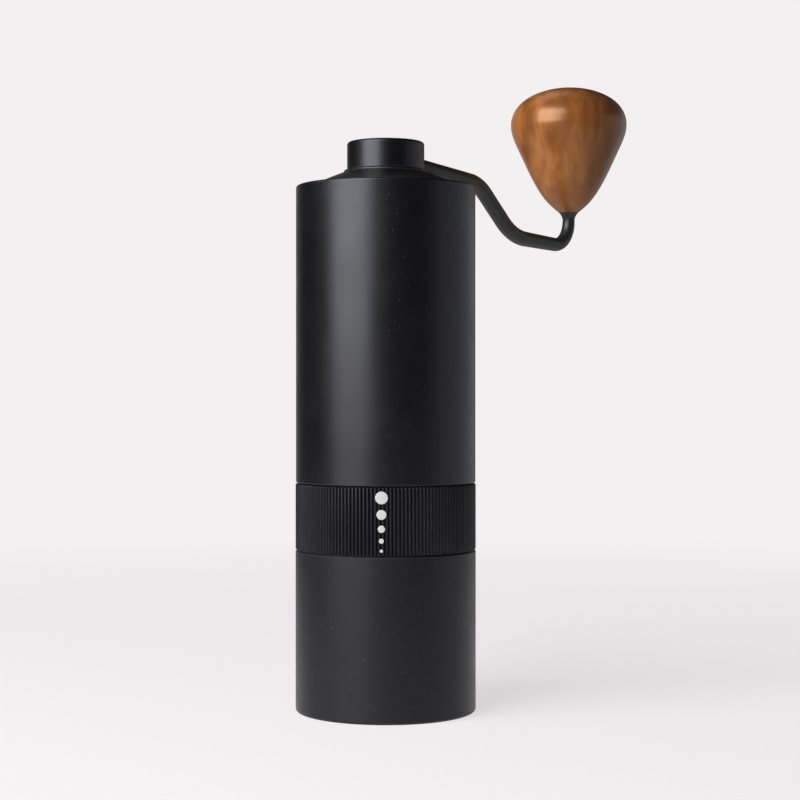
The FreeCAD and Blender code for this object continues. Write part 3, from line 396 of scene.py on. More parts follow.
@dataclass(frozen=True)
class WoodFinish:
    """Oiled hardwood, turned with its grain along the vertical axis."""

    name: str
    axis_x: float
    light: Colour = (0.36, 0.128, 0.030)
    middle: Colour = (0.225, 0.074, 0.017)
    dark: Colour = (0.085, 0.027, 0.009)
    # Dark colour towards the pith, on one side of the knob: part heartwood, part painted shade on that side.
    heart_and_shade: Colour = (0.075, 0.028, 0.012)
    oil: Colour = (1.0, 0.66, 0.42)
    pith: tuple[float, float] = (0.046, -0.055)
    ring_spacing: float = 0.0052
    ring_drift: float = 0.006
    heart_and_shade_reach: float = 0.020
    streaks: tuple[float, float, float] = (120.0, 120.0, 2.5)
    bands: tuple[float, float, float] = (170.0, 170.0, 2.5)
    fibres: tuple[float, float, float] = (620.0, 620.0, 12.0)
    pores: tuple[float, float, float] = (2600.0, 2600.0, 130.0)
    pore_colour: Colour = (0.035, 0.014, 0.007)
    ring_sharpness: float = 1.4
    ring_share: float = 0.36
    heart_and_shade_share: float = 0.8
    fibre_share: float = 0.25
    pore_share: float = 0.2
    roughness: float = 0.24
    fibre_roughness: float = 0.10
    pore_roughness: float = 0.2
    specular: float = 0.9
    depth: float = 0.000008

    def build(self, groups: SharedGroups) -> bpy.types.Material:
        """Makes the material.

        Growth rings are a wave of the distance from an off-centre pith, bent by slow noise. The wood darkens
        towards the pith, which lies on one side of the knob: part heartwood, part painted shade on that side.
        Fibres and pores are noise stretched along the grain. They set colour, gloss and height.
        """
        finish = Finish(self.name, groups)
        graph = finish.graph
        place = graph.stretch(graph.here(), (1, 1, 1), (-self.axis_x, 0, 0))
        drift = graph.noise(graph.stretch(place, self.streaks), 1.0, 2.0, 0.5)
        drift = graph.math("MULTIPLY", drift, self.ring_drift)
        x, y, _ = graph.split(place)
        flat = graph.add("CombineXYZ")
        graph.feed(flat.inputs[0], graph.math("SUBTRACT", x, self.pith[0]))
        graph.feed(flat.inputs[1], graph.math("SUBTRACT", y, self.pith[1]))
        radius = graph.math("ADD", graph.vector("LENGTH", flat.outputs[0]), drift)
        turn = graph.math("MULTIPLY", radius, 2 * math.pi / self.ring_spacing)
        wave = graph.math("MULTIPLY_ADD", graph.math("SINE", turn), 0.5, 0.5)
        rings = graph.math("POWER", wave, self.ring_sharpness)
        fibre = graph.noise(graph.stretch(place, self.fibres), 1.0, 3.0, 0.55)
        broad = graph.noise(graph.stretch(place, self.bands), 1.0, 2.0, 0.5)
        specks = graph.noise(graph.stretch(place, self.pores), 1.0, 1.0, 0.5)
        pore = graph.span(specks, 0.66, 0.74)
        body = graph.blend(graph.span(broad, 0.36, 0.64), self.middle, self.light)
        # Painted shade: the wood darkens towards the pith on one side of the knob, standing for shade there
        # as well as heartwood.
        reach = math.hypot(*self.pith)
        inward = graph.vector("DOT_PRODUCT", place, (self.pith[0] / reach, self.pith[1] / reach, 0.0))
        inward = graph.math("ADD", inward, drift)
        near_heart_and_shade = graph.span(inward, 0.0, self.heart_and_shade_reach, 0.0, self.heart_and_shade_share)
        late = graph.math("MULTIPLY", rings, graph.span(fibre, 0.25, 0.75, 0.5, 1.0))
        colour = graph.blend(graph.math("MULTIPLY", late, self.ring_share), body, self.dark)
        colour = graph.blend(near_heart_and_shade, colour, self.heart_and_shade)
        dark_fibre = graph.math("MULTIPLY", graph.span(fibre, 0.45, 0.75), self.fibre_share)
        colour = graph.blend(dark_fibre, colour, self.dark)
        colour = graph.blend(graph.math("MULTIPLY", pore, self.pore_share), colour, self.pore_colour)
        rough = graph.math("MULTIPLY_ADD", pore, self.pore_roughness, self.roughness)
        rough = graph.math("ADD", graph.math("MULTIPLY", fibre, self.fibre_roughness), rough)
        height = graph.math("SUBTRACT", graph.math("MULTIPLY", fibre, 0.3), pore)
        finish.set(Base_Color=colour, Roughness=rough)
        finish.set(Specular_IOR_Level=self.specular, Specular_Tint=self.oil)
        finish.bump(height, self.depth)
        return finish.material


# --- Surfaces --------------------------------------------------------------------------------------
class Surface:
    """Builds closed meshes from arrays of points."""

    @staticmethod
    def object(
        name: str, points: np.ndarray, faces: list[np.ndarray], crease: float = 40.0
    ) -> bpy.types.Object:
        """Puts points and faces into a smooth-shaded mesh object.

        Args:
            name: The piece's name.
            points: Places in metres, one row each.
            faces: Arrays of corner numbers, one row for each face.
            crease: Edges that turn more than this many degrees stay sharp.

        Returns:
            The object, linked to the scene.
        """
        mesh = bpy.data.meshes.new(name)
        mesh.from_pydata(points.tolist(), [], [face for block in faces for face in block.tolist()])
        mesh.polygons.foreach_set("use_smooth", np.ones(len(mesh.polygons), dtype=bool))
        mesh.set_sharp_from_angle(angle=math.radians(crease))
        mesh.update()
        piece = bpy.data.objects.new(name, mesh)
        bpy.context.scene.collection.objects.link(piece)
        return piece

    @staticmethod
    def quads(rows: int, columns: int, wrap_rows: bool) -> np.ndarray:
        """Faces of a grid numbered row by row, joined round its columns and, if asked, its rows.

        Args:
            rows: Number of rows.
            columns: Number of columns.
            wrap_rows: Whether the last row joins the first.

        Returns:
            One row of four corner numbers for each face.
        """
        row = np.arange(rows if wrap_rows else rows - 1)[:, None]
        column = np.arange(columns)[None, :]
        after, beside = (row + 1) % rows, (column + 1) % columns
        this_row, next_row = row * columns, after * columns
        corners = [this_row + column, this_row + beside, next_row + beside, next_row + column]
        return np.stack([c.reshape(-1) for c in corners], axis=1)

    @classmethod
    def lathe(
        cls, name: str, profile: np.ndarray, axis_x: float, segments: int, crease: float = 40.0
    ) -> bpy.types.Object:
        """Turns a profile about a vertical axis: x = axis + r cos t, y = r sin t, z as given.

        A profile that starts and ends on the axis closes at two poles. Any other profile is a closed loop.

        Args:
            name: The piece's name.
            profile: Radius and height of each point, running clockwise in the (r, z) half plane.
            axis_x: Where the axis stands.
            segments: Steps round the axis.
            crease: Edges that turn more than this many degrees stay sharp.

        Returns:
            The piece.
        """
        turn = np.linspace(0, 2 * math.pi, segments, endpoint=False)
        poles = profile[0, 0] < ON_AXIS and profile[-1, 0] < ON_AXIS
        ring = profile[1:-1] if poles else profile
        radius, height = ring[:, 0][:, None], ring[:, 1][:, None]
        grid = np.stack(
            [axis_x + radius * np.cos(turn), radius * np.sin(turn), height + 0 * turn], axis=2
        ).reshape(-1, 3)
        faces = [cls.quads(len(ring), segments, wrap_rows=not poles)[:, ::-1]]
        if poles:
            grid = np.vstack([grid, [axis_x, 0, profile[0, 1]], [axis_x, 0, profile[-1, 1]]])
            faces += cls.fans(len(ring), segments, len(grid) - 2, len(grid) - 1, flip=True)
        return cls.object(name, grid, faces, crease)

    @staticmethod
    def fans(rows: int, columns: int, first: int, last: int, flip: bool) -> list[np.ndarray]:
        """Triangles from the first and last grid rows to a point each.

        Args:
            rows: Rows in the grid.
            columns: Columns in the grid.
            first: Number of the point that closes the first row.
            last: Number of the point that closes the last row.
            flip: Whether the triangles turn the other way.

        Returns:
            Two arrays of three corner numbers a face.
        """
        column = np.arange(columns)
        beside = (column + 1) % columns
        base = (rows - 1) * columns
        start = np.stack([np.full(columns, first), beside, column], axis=1)
        end = np.stack([np.full(columns, last), base + column, base + beside], axis=1)
        return [block[:, ::-1] if flip else block for block in (start, end)]

    @classmethod
    def rod(
        cls, name: str, path: np.ndarray, side: np.ndarray, radii: np.ndarray, sides: int
    ) -> bpy.types.Object:
        """Carries a circle along a path: point + r (n cos t + b sin t), closed by a fan at each end.

        Args:
            name: The piece's name.
            path: Centres, one row each.
            side: A direction square to the path at each centre, as n.
            radii: Radius at each centre.
            sides: Steps round the circle.

        Returns:
            The piece.
        """
        along = np.gradient(path, axis=0)
        along /= np.linalg.norm(along, axis=1, keepdims=True)
        normal = side - along * np.sum(side * along, axis=1, keepdims=True)
        normal /= np.linalg.norm(normal, axis=1, keepdims=True)
        across = np.cross(along, normal)
        turn = np.linspace(0, 2 * math.pi, sides, endpoint=False)[None, :, None]
        circle = normal[:, None] * np.cos(turn) + across[:, None] * np.sin(turn)
        rings = path[:, None] + radii[:, None, None] * circle
        grid = np.vstack([rings.reshape(-1, 3), path[:1], path[-1:]])
        faces = [cls.quads(len(path), sides, wrap_rows=False)]
        faces += cls.fans(len(path), sides, len(grid) - 2, len(grid) - 1, flip=False)
        return cls.object(name, grid, faces)


def arc(centre: tuple[float, float], radius: float, start: float, end: float, steps: int) -> np.ndarray:
    """Points on an arc, as (r, z) rows, between two angles in degrees."""
    turn = np.radians(np.linspace(start, end, steps))
    return np.stack([centre[0] + radius * np.cos(turn), centre[1] + radius * np.sin(turn)], axis=1)


def smooth_curve(
    points: np.ndarray, slope_in: Sequence[float], slope_out: Sequence[float], steps: int
) -> np.ndarray:
    """Natural cubic through points, by arc length, with a set direction at each end.

    Each coordinate is a piecewise Hermite cubic whose slopes solve the usual tridiagonal system for an
    unbroken second derivative.

    Args:
        points: The points that it passes through.
        slope_in: Direction at the start.
        slope_out: Direction at the end.
        steps: Points wanted.

    Returns:
        The curve's points.
    """
    gaps = np.linalg.norm(np.diff(points, axis=0), axis=1)
    knots = np.concatenate([[0.0], np.cumsum(gaps)])
    count = len(points)
    system, known = np.zeros((count, count)), np.zeros((count, points.shape[1]))
    system[0, 0] = system[-1, -1] = 1.0
    known[0] = np.array(slope_in) / np.linalg.norm(slope_in)
    known[-1] = np.array(slope_out) / np.linalg.norm(slope_out)
    inner = np.arange(1, count - 1)
    before, after = gaps[:-1], gaps[1:]
    system[inner, inner - 1] = after
    system[inner, inner] = 2 * (before + after)
    system[inner, inner + 1] = before
    step = np.diff(points, axis=0)
    share = (after / before)[:, None]
    known[inner] = 3 * (share * step[:-1] + step[1:] / share)
    slopes = np.linalg.solve(system, known)
    place = np.linspace(0, knots[-1], steps)
    cell = np.clip(np.searchsorted(knots, place, side="right") - 1, 0, count - 2)
    width = gaps[cell]
    t = ((place - knots[cell]) / width)[:, None]
    width = width[:, None]
    return (
        (2 * t**3 - 3 * t**2 + 1) * points[cell]
        + (t**3 - 2 * t**2 + t) * width * slopes[cell]
        + (3 * t**2 - 2 * t**3) * points[cell + 1]
        + (t**3 - t**2) * width * slopes[cell + 1]
    )


# --- Pieces ----------------------------------------------------------------------------------------
@dataclass
class GripSleeve:
    """Ribbed sleeve with a small printed scale, on the barrel's lower end."""

    ribs: int = 150
    steps_per_rib: int = 10
    rib_depth: float = 0.38 * MM
    crest_share: float = 0.34
    wall: float = 1.16 * MM
    edge: float = 0.35 * MM
    mark_azimuth: float = 217.4
    dot_radii: tuple[float, ...] = (0.45 * MM, 0.7 * MM, 1.0 * MM, 1.35 * MM, 1.75 * MM)
    dot_gap: float = 1.6 * MM
    print_height: float = 0.03 * MM
    groove_power: float = 1.4
    crest_fall: float = 0.03 * MM
    dot_reach: tuple[float, ...] = (0.6, 0.95, 1.0, 1.0, 0.6)
    dot_lift: tuple[float, ...] = (1.0, 1.0, 0.6, -6.0, -6.0)
    dot_steps: int = 40

    def __post_init__(self) -> None:
        """Reads the sleeve's place from the frame."""
        low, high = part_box("grip_sleeve")
        self.outer, self.low, self.high = high[1], low[2], high[2]

    def build(self, metal: bpy.types.Material, ink: bpy.types.Material) -> None:
        """Makes the sleeve and its print."""
        sleeve = self._ribs()
        sleeve.data.materials.append(metal)
        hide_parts("grip_sleeve")
        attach(sleeve, Body.BODY.value)
        for dot in self._dots():
            dot.data.materials.append(ink)
            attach(dot, Body.BODY.value)
        LOG.info("grip sleeve: %d ribs, %d printed dots", self.ribs, len(self.dot_radii))

    def _ribs(self) -> bpy.types.Object:
        """Ribbed ring.

        The outside is r(t) = outer - depth * v(t), with v rising from 0 on a crest to 1 in the groove's floor
        as a rounded V, and never past the bevelled ends' radius. The inside is plain.
        """
        count = self.ribs * self.steps_per_rib
        turn = np.linspace(0, 2 * math.pi, count, endpoint=False)
        phase = np.abs((turn * self.ribs / (2 * math.pi) + 0.5) % 1.0 - 0.5) * 2
        groove = np.clip((phase - self.crest_share) / (1 - self.crest_share), 0, 1)
        sunk = self.rib_depth * np.sin(groove * math.pi / 2) ** self.groove_power
        ribbed = self.outer - sunk - self.crest_fall * phase
        bevel = arc((0, 0), self.edge, 0, 90, 5)
        sink = self.edge - bevel[:, 0]
        rise = bevel[:, 1]
        heights = np.concatenate([self.low + (self.edge - rise)[::-1], self.high - (self.edge - rise)])
        limits = self.outer - np.concatenate([sink[::-1], sink])
        outside = np.minimum(ribbed[None, :], limits[:, None])
        inside = np.full((2, count), self.outer - self.wall)
        radius = np.vstack([outside, inside])
        height = np.concatenate([heights, [self.high, self.low]])[:, None] + 0 * turn
        grid = np.stack([radius * np.cos(turn), radius * np.sin(turn), height], axis=2).reshape(-1, 3)
        faces = [Surface.quads(len(radius), count, wrap_rows=True)]
        return Surface.object("ribbed_sleeve", grid, faces, crease=50.0)

    def _dots(self) -> list[bpy.types.Object]:
        """Round printed dots, growing upwards as a fine-to-coarse scale, each wrapped on the sleeve.

        A dot is a lens of distance s and turn t about its centre, laid at angle s cos t / R and height
        s sin t. Its face stands just proud of the crests and its back is sunk in the ribs.
        """
        length = 2 * sum(self.dot_radii) + self.dot_gap * (len(self.dot_radii) - 1)
        height = (self.low + self.high - length) / 2
        centre = math.radians(self.mark_azimuth)
        turn = np.linspace(0, 2 * math.pi, self.dot_steps, endpoint=False)
        dots = []
        for number, size in enumerate(self.dot_radii):
            height += size
            reach = np.array(self.dot_reach)[:, None] * size
            radius = self.outer + np.array(self.dot_lift)[:, None] * self.print_height
            angle = centre + reach * np.cos(turn) / self.outer
            level = height + reach * np.sin(turn)
            grid = np.stack([radius * np.cos(angle), radius * np.sin(angle), level], axis=2).reshape(-1, 3)
            middles = radius[[0, -1], 0]
            ends = [(r * math.cos(centre), r * math.sin(centre), height) for r in middles]
            grid = np.vstack([grid, ends])
            faces = [Surface.quads(len(reach), len(turn), wrap_rows=False)]
            faces += Surface.fans(len(reach), len(turn), len(grid) - 2, len(grid) - 1, flip=False)
            dots.append(Surface.object(f"scale_dot_{number + 1}", grid, faces))
            height += size + self.dot_gap
        return dots


@dataclass
class CrankArm:
    """Bent rod from the hub to the knob, remade with even, round bends."""

    root_radius: float = 2.5 * MM
    elbow_radius: float = 2.38 * MM
    tip_radius: float = 2.0 * MM
    axle_radius: float = 1.45 * MM
    hub_height: float = 8.4 * MM
    entry: float = 3.95 * MM
    slope: float = 0.086
    drop: float = 15.26 * MM
    drop_run: float = 17.9 * MM
    low_run: float = 31.3 * MM
    low_slope: float = 0.047
    bends: tuple[float, float, float] = (13.5 * MM, 19.7 * MM, 8.0 * MM)
    stem_straight: float = 0.3 * MM
    bend_steps: int = 20
    taper_share: float = 0.28
    root_inset: float = 0.05 * MM
    tip_chamfer: float = 0.1 * MM
    axle_chamfer: float = 0.25 * MM
    hair: float = 1e-7
    sides: int = 48

    def __post_init__(self) -> None:
        """Reads the arm's ends from the frame."""
        low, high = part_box("knob_ferrule")
        self.reach = (low[0] + high[0]) / 2
        self.hub_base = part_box("crank_hub")[1][2] - self.hub_height
        self.root_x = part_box("crank_arm")[0][0] + self.root_inset
        self.axle_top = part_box("crank_arm")[1][2]

    def corners(self) -> np.ndarray:
        """Corners of the centreline as (x, z) rows."""
        base = self.hub_base + self.entry
        elbow_x = self.reach - self.low_run
        shoulder_x = elbow_x - self.drop_run
        shoulder_z = base - self.slope * shoulder_x
        elbow_z = shoulder_z - self.drop
        foot_z = elbow_z - self.low_slope * self.low_run
        stem_leg = self.bends[2] * math.tan((math.pi / 2 + math.atan(self.low_slope)) / 2)
        return np.array([
            (self.root_x, base - self.slope * self.root_x),
            (shoulder_x, shoulder_z),
            (elbow_x, elbow_z),
            (self.reach, foot_z),
            (self.reach, foot_z + stem_leg + self.stem_straight),
        ])

    def centreline(self) -> np.ndarray:
        """Straight runs joined by tangent arcs, as (x, z) rows.

        At a corner with half angle h, the arc of radius R starts R / tan h before it and is centred
        R / sin h along the bisector.
        """
        corners = self.corners()
        pieces = [corners[:1]]
        for before, corner, after, radius in zip(corners, corners[1:], corners[2:], self.bends):
            back, ahead = before - corner, after - corner
            back, ahead = back / np.linalg.norm(back), ahead / np.linalg.norm(ahead)
            half = math.acos(float(np.clip(back @ ahead, -1, 1))) / 2
            inward = (back + ahead) / np.linalg.norm(back + ahead)
            centre = corner + inward * radius / math.sin(half)
            leg = radius / math.tan(half)
            first, last = corner + back * leg, corner + ahead * leg
            spread = math.pi - 2 * half
            start = first - centre
            sense = np.sign(start[0] * (last - centre)[1] - start[1] * (last - centre)[0])
            turn = np.linspace(0, spread, self.bend_steps) * sense
            pieces.append(np.stack([
                centre[0] + start[0] * np.cos(turn) - start[1] * np.sin(turn),
                centre[1] + start[0] * np.sin(turn) + start[1] * np.cos(turn),
            ], axis=1))
        pieces.append(corners[-1:])
        return np.vstack(pieces)

    def build(self, metal: bpy.types.Material) -> None:
        """Makes the arm with its turned-down axle.

        The radius runs evenly from root to elbow to tip. At the tip the rod is chamfered, steps in to the
        axle within a hair's breadth, and the axle ends in a chamfer of its own.
        """
        line = self.centreline()
        gaps = np.concatenate([[0.0], np.cumsum(np.linalg.norm(np.diff(line, axis=0), axis=1))])
        elbow_x = self.reach - self.low_run + self.bends[1] * self.taper_share
        elbow = gaps[np.argmin(np.abs(line[:, 0] - elbow_x))]
        radii = np.interp(gaps, [0, elbow, gaps[-1]], [self.root_radius, self.elbow_radius, self.tip_radius])
        top = line[-1]
        step_in = (top[1] + self.hair, top[1] + 2 * self.hair)
        levels = (*step_in, self.axle_top - self.axle_chamfer, self.axle_top)
        axle = np.array([(top[0], level) for level in levels])
        line = np.vstack([line[:-1], top - (0, self.tip_chamfer), top, axle])
        radii = np.concatenate([
            radii[:-1], [self.tip_radius, self.tip_radius - self.tip_chamfer],
            [self.axle_radius] * 3, [self.axle_radius - self.axle_chamfer],
        ])
        path = np.stack([line[:, 0], np.zeros(len(line)), line[:, 1]], axis=1)
        side = np.tile([0.0, 1.0, 0.0], (len(path), 1))
        arm = Surface.rod("bent_crank_arm", path, side, radii, self.sides)
        arm.data.materials.append(metal)
        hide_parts("crank_arm")
        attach(arm, Body.CRANK.value)
        LOG.info("crank arm: %d rings", len(path))


@dataclass
class Knob:
    """Turned wooden knob and its flared collar."""

    foot_radius: float = 3.2 * MM
    waist_share: float = 29.6 / 40.7
    bore_radius: float = 2.42 * MM
    bore_depth: float = 18.49 * MM
    axle_bore: float = 1.5 * MM
    stem_radius: float = 1.95 * MM
    sleeve_radius: float = 2.4 * MM
    crown: tuple[tuple[float, float], ...] = ((0.635, 0.774), (0.90, 0.42))
    flank: tuple[tuple[float, float], ...] = ((0.866, 0.69), (0.619, 0.358), (0.316, 0.081))
    foot_slope: tuple[float, float] = (-1, -0.85)
    flare_power: float = 1.9
    collar_inset: float = 0.05 * MM
    collar_gap: float = 0.02 * MM
    flare_steps: int = 14
    curve_steps: int = 110
    segments: int = 128

    def __post_init__(self) -> None:
        """Reads the knob's and collar's places from the frame."""
        low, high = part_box("wooden_knob")
        self.axis_x = (low[0] + high[0]) / 2
        self.radius, self.foot, self.top = (high[0] - low[0]) / 2, low[2], high[2]
        self.collar_low, self.collar_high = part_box("knob_ferrule")[0][2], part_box("knob_ferrule")[1][2]

    def build(self, wood: bpy.types.Material, metal: bpy.types.Material) -> None:
        """Makes both pieces."""
        self._dress(self._wood(), "wooden_knob", "knob_wood", wood)
        self._dress(self._collar(), "knob_ferrule", "arm_black", metal)
        LOG.info("knob: %.1f mm across", 2 * self.radius / MM)

    @staticmethod
    def _dress(piece: bpy.types.Object, node: str, slot: str, material: bpy.types.Material) -> None:
        """Gives a piece its material and puts it in its node's place on the knob's body."""
        piece.data.materials.append(material)
        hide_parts(node)
        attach(piece, Body.KNOB.value)

    def _wood(self) -> bpy.types.Object:
        """Knob as a turned profile: a smooth curve from the domed top to the foot, then the blind bore.

        Crown points are shares of the radius and of the height above the widest level, and flank points are
        shares of the radius and of the height up to it.
        """
        height = self.top - self.foot
        waist = self.waist_share * height
        above = height - waist
        outline = np.array([
            (0.0, height),
            *((wide * self.radius, waist + high * above) for wide, high in self.crown),
            (self.radius, waist),
            *((wide * self.radius, high * waist) for wide, high in self.flank),
            (self.foot_radius, 0.0),
        ])
        curve = smooth_curve(outline, (1, 0), self.foot_slope, self.curve_steps)
        curve[:, 0] = np.clip(curve[:, 0], 0, self.radius)
        curve[0, 0] = 0
        bore = np.array([(self.bore_radius, 0), (self.bore_radius, self.bore_depth), (0, self.bore_depth)])
        profile = np.vstack([curve, bore]) + (0, self.foot)
        return Surface.lathe("turned_knob", profile, self.axis_x, self.segments)

    def _collar(self) -> bpy.types.Object:
        """Collar as a closed turned loop: stem, concave flare under the wood, sleeve inside it."""
        rim_radius, rim = self.foot_radius - self.collar_inset, self.foot - self.collar_gap
        share = np.linspace(0, 1, self.flare_steps)[:, None]
        flare = np.hstack([
            self.stem_radius + (rim_radius - self.stem_radius) * share**self.flare_power,
            self.collar_low + (rim - self.collar_low) * share,
        ])
        inside = np.array([
            (self.axle_bore, self.collar_low),
            (self.axle_bore, self.collar_high),
            (self.sleeve_radius, self.collar_high),
            (self.sleeve_radius, rim),
        ])
        profile = np.vstack([inside, flare[::-1]])
        return Surface.lathe("flared_collar", profile, self.axis_x, self.segments // 2)


@dataclass
class Springs:
    """Burr spring and the two click springs, as round wire on a true helix with closed ends."""

    wire: float = 0.45 * MM
    turns: float = 5.0
    click_wire: float = 0.13 * MM
    click_turns: float = 3.0
    click_radius: float = 0.7 * MM
    steps_per_turn: int = 28
    wire_sides: int = 12
    closed_pitch: float = 0.15

    def build(self, metal: bpy.types.Material) -> None:
        """Makes the springs where the frame has them. The burr spring sits between shaft and burr."""
        low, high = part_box("main_spring")
        main = self._coil("burr_spring", (0, 0), high[1] - self.wire, self.wire, low[2], high[2], self.turns)
        self._dress([main], "main_spring", metal)
        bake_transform(main)
        low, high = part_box("detent_springs")
        reach = high[0] - self.click_radius - self.click_wire
        size = (self.click_radius, self.click_wire, low[2], high[2], self.click_turns)
        clicks = [self._coil(f"click_spring_{i + 1}", (x, 0), *size) for i, x in enumerate((reach, -reach))]
        self._dress(clicks, "detent_springs", metal)
        for click in clicks:
            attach(click, Body.DIAL.value)
        LOG.info("springs: %d", 1 + len(clicks))

    @staticmethod
    def _dress(pieces: list[bpy.types.Object], node: str, metal: bpy.types.Material) -> None:
        """Gives pieces their material and lets the first stand for the node."""
        for number, piece in enumerate(pieces):
            piece.data.materials.append(metal)
            if number == 0:
                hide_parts(node)

    def _coil(
        self,
        name: str,
        centre: tuple[float, float],
        radius: float,
        wire: float,
        low: float,
        high: float,
        turns: float,
    ) -> bpy.types.Object:
        """Helix of round wire whose pitch eases to flat over the first and last half turn.

        Args:
            name: The piece's name.
            centre: Where the axis stands.
            radius: Mean radius of the coil.
            wire: Radius of the wire.
            low: Lowest level.
            high: Highest level.
            turns: Number of turns.

        Returns:
            The piece.
        """
        share = np.linspace(0, 1, int(turns * self.steps_per_turn))
        turn = 2 * math.pi * turns * share
        ease = np.clip(np.minimum(share, 1 - share) * 2 * turns, 0, 1)
        pitch = self.closed_pitch + (1 - self.closed_pitch) * ease
        climb = np.concatenate([[0], np.cumsum(pitch[1:])])
        height = low + wire + (high - low - 2 * wire) * climb / climb[-1]
        out = np.stack([np.cos(turn), np.sin(turn), 0 * turn], axis=1)
        path = np.array([*centre, 0.0]) + radius * out + np.stack([0 * turn, 0 * turn, height], axis=1)
        return Surface.rod(name, path, out, np.full(len(path), wire), self.wire_sides)


@dataclass
class Finishes:
    """Every material of the grinder, and which CAD nodes take it."""

    groups: SharedGroups
    knob_axis: float

    def __post_init__(self) -> None:
        """Builds the materials."""
        metals = (
            # The black dyed aluminium's lighter edges are painted highlights along its rims, shown as worn
            # dye.
            MetalFinish("black_anodised", (0.0018, 0.0018, 0.0021), 0.38, 0.0,
                        depth=0.0000022, wear_and_highlight=0.34, wear_and_highlight_colour=WORN_EDGE_AND_HIGHLIGHT, tint=COOL),
            MetalFinish("cup_anodised", (0.0045, 0.0045, 0.005), 0.43, 0.0,
                        depth=0.0000026, wear_and_highlight=0.34, wear_and_highlight_colour=WORN_EDGE_AND_HIGHLIGHT, specular=0.38, tint=COOL),
            MetalFinish("ribbed_black", (0.0022, 0.0022, 0.0025), 0.42, 0.0,
                        depth=0.000002, wear_and_highlight=0.0, wear_and_highlight_colour=(0.1, 0.1, 0.1), specular=0.33, tint=COOL),
            MetalFinish("arm_black", (0.012, 0.0125, 0.0125), 0.45, 0.0, grain=4200.0,
                        depth=0.000005, wear_and_highlight=0.06, axis_x=self.knob_axis),
            MetalFinish("carrier_alloy", (0.32, 0.32, 0.335), 0.42, 1.0, Metal.TURNED, 7000.0,
                        depth=0.000005, wear_and_highlight=0.35, wear_and_highlight_colour=(0.75, 0.75, 0.76)),
            MetalFinish("burr_steel", (0.56, 0.55, 0.54), 0.33, 1.0, Metal.GROUND, 6000.0,
                        depth=0.000006, wear_and_highlight=0.6, wear_and_highlight_colour=(0.9, 0.9, 0.9)),
            MetalFinish("shaft_steel", (0.58, 0.575, 0.57), 0.28, 1.0, Metal.TURNED, 12000.0,
                        depth=0.000003, wear_and_highlight=0.3, wear_and_highlight_colour=(0.85, 0.85, 0.85)),
            MetalFinish("bearing_steel", (0.68, 0.68, 0.69), 0.14, 1.0, Metal.TURNED, 15000.0,
                        depth=0.000001, wear_and_highlight=0.2, wear_and_highlight_colour=(0.9, 0.9, 0.9), variation=0.04),
            MetalFinish("spring_steel", (0.36, 0.355, 0.35), 0.34, 1.0, Metal.GROUND, 9000.0,
                        depth=0.000002, wear_and_highlight=0.1, wear_and_highlight_colour=(0.6, 0.6, 0.6)),
            MetalFinish("fastener_steel", (0.045, 0.044, 0.045), 0.38, 1.0, Metal.TURNED, 9000.0,
                        depth=0.000003, wear_and_highlight=0.5, wear_and_highlight_colour=(0.4, 0.39, 0.38)),
        )
        plastics = (
            MouldedFinish("seal_rubber", (0.016, 0.016, 0.016), 0.62, sheen=0.15),
            MouldedFinish("bush_plastic", (0.70, 0.68, 0.62), 0.44),
            MouldedFinish("cage_plastic", (0.20, 0.13, 0.07), 0.5),
            MouldedFinish("print_ink", (0.52, 0.52, 0.515), 0.5, grain=2600.0, depth=0.000003),
        )
        woods = (WoodFinish("knob_wood", self.knob_axis),)
        self.by_slot = {f.name: f.build(self.groups) for f in (*metals, *plastics, *woods)}

    def dress_frame(self) -> None:
        """Puts each CAD node's finish on it, by the record's slots."""
        slots = {s["node"]: s["material_slot"] for s in FRAME["record"]["subparts"]}
        for node, piece in FRAME["nodes"].items():
            piece.data.materials.clear()
            piece.data.materials.append(self.by_slot[slots[node]])
        LOG.info("frame: %d nodes dressed", len(slots))


# --- Studio ----------------------------------------------------------------------------------------
@dataclass
class Softbox:
    """A rectangular light that faces a target, placed by direction."""

    name: str
    direction: tuple[float, float, float]
    distance: float
    width: float
    height: float
    radiance: float

    def build(self, target: Vector) -> None:
        """Makes the light. Its power gives the stated radiance over its area."""
        lamp = bpy.data.lights.new(self.name, "AREA")
        lamp.shape = "RECTANGLE"
        lamp.size, lamp.size_y = self.width, self.height
        lamp.energy = math.pi * self.width * self.height * self.radiance
        holder = bpy.data.objects.new(self.name, lamp)
        holder.location = target + Vector(self.direction).normalized() * self.distance
        holder.rotation_euler = (target - holder.location).to_track_quat("-Z", "Y").to_euler()
        holder.visible_camera = False
        bpy.context.scene.collection.objects.link(holder)


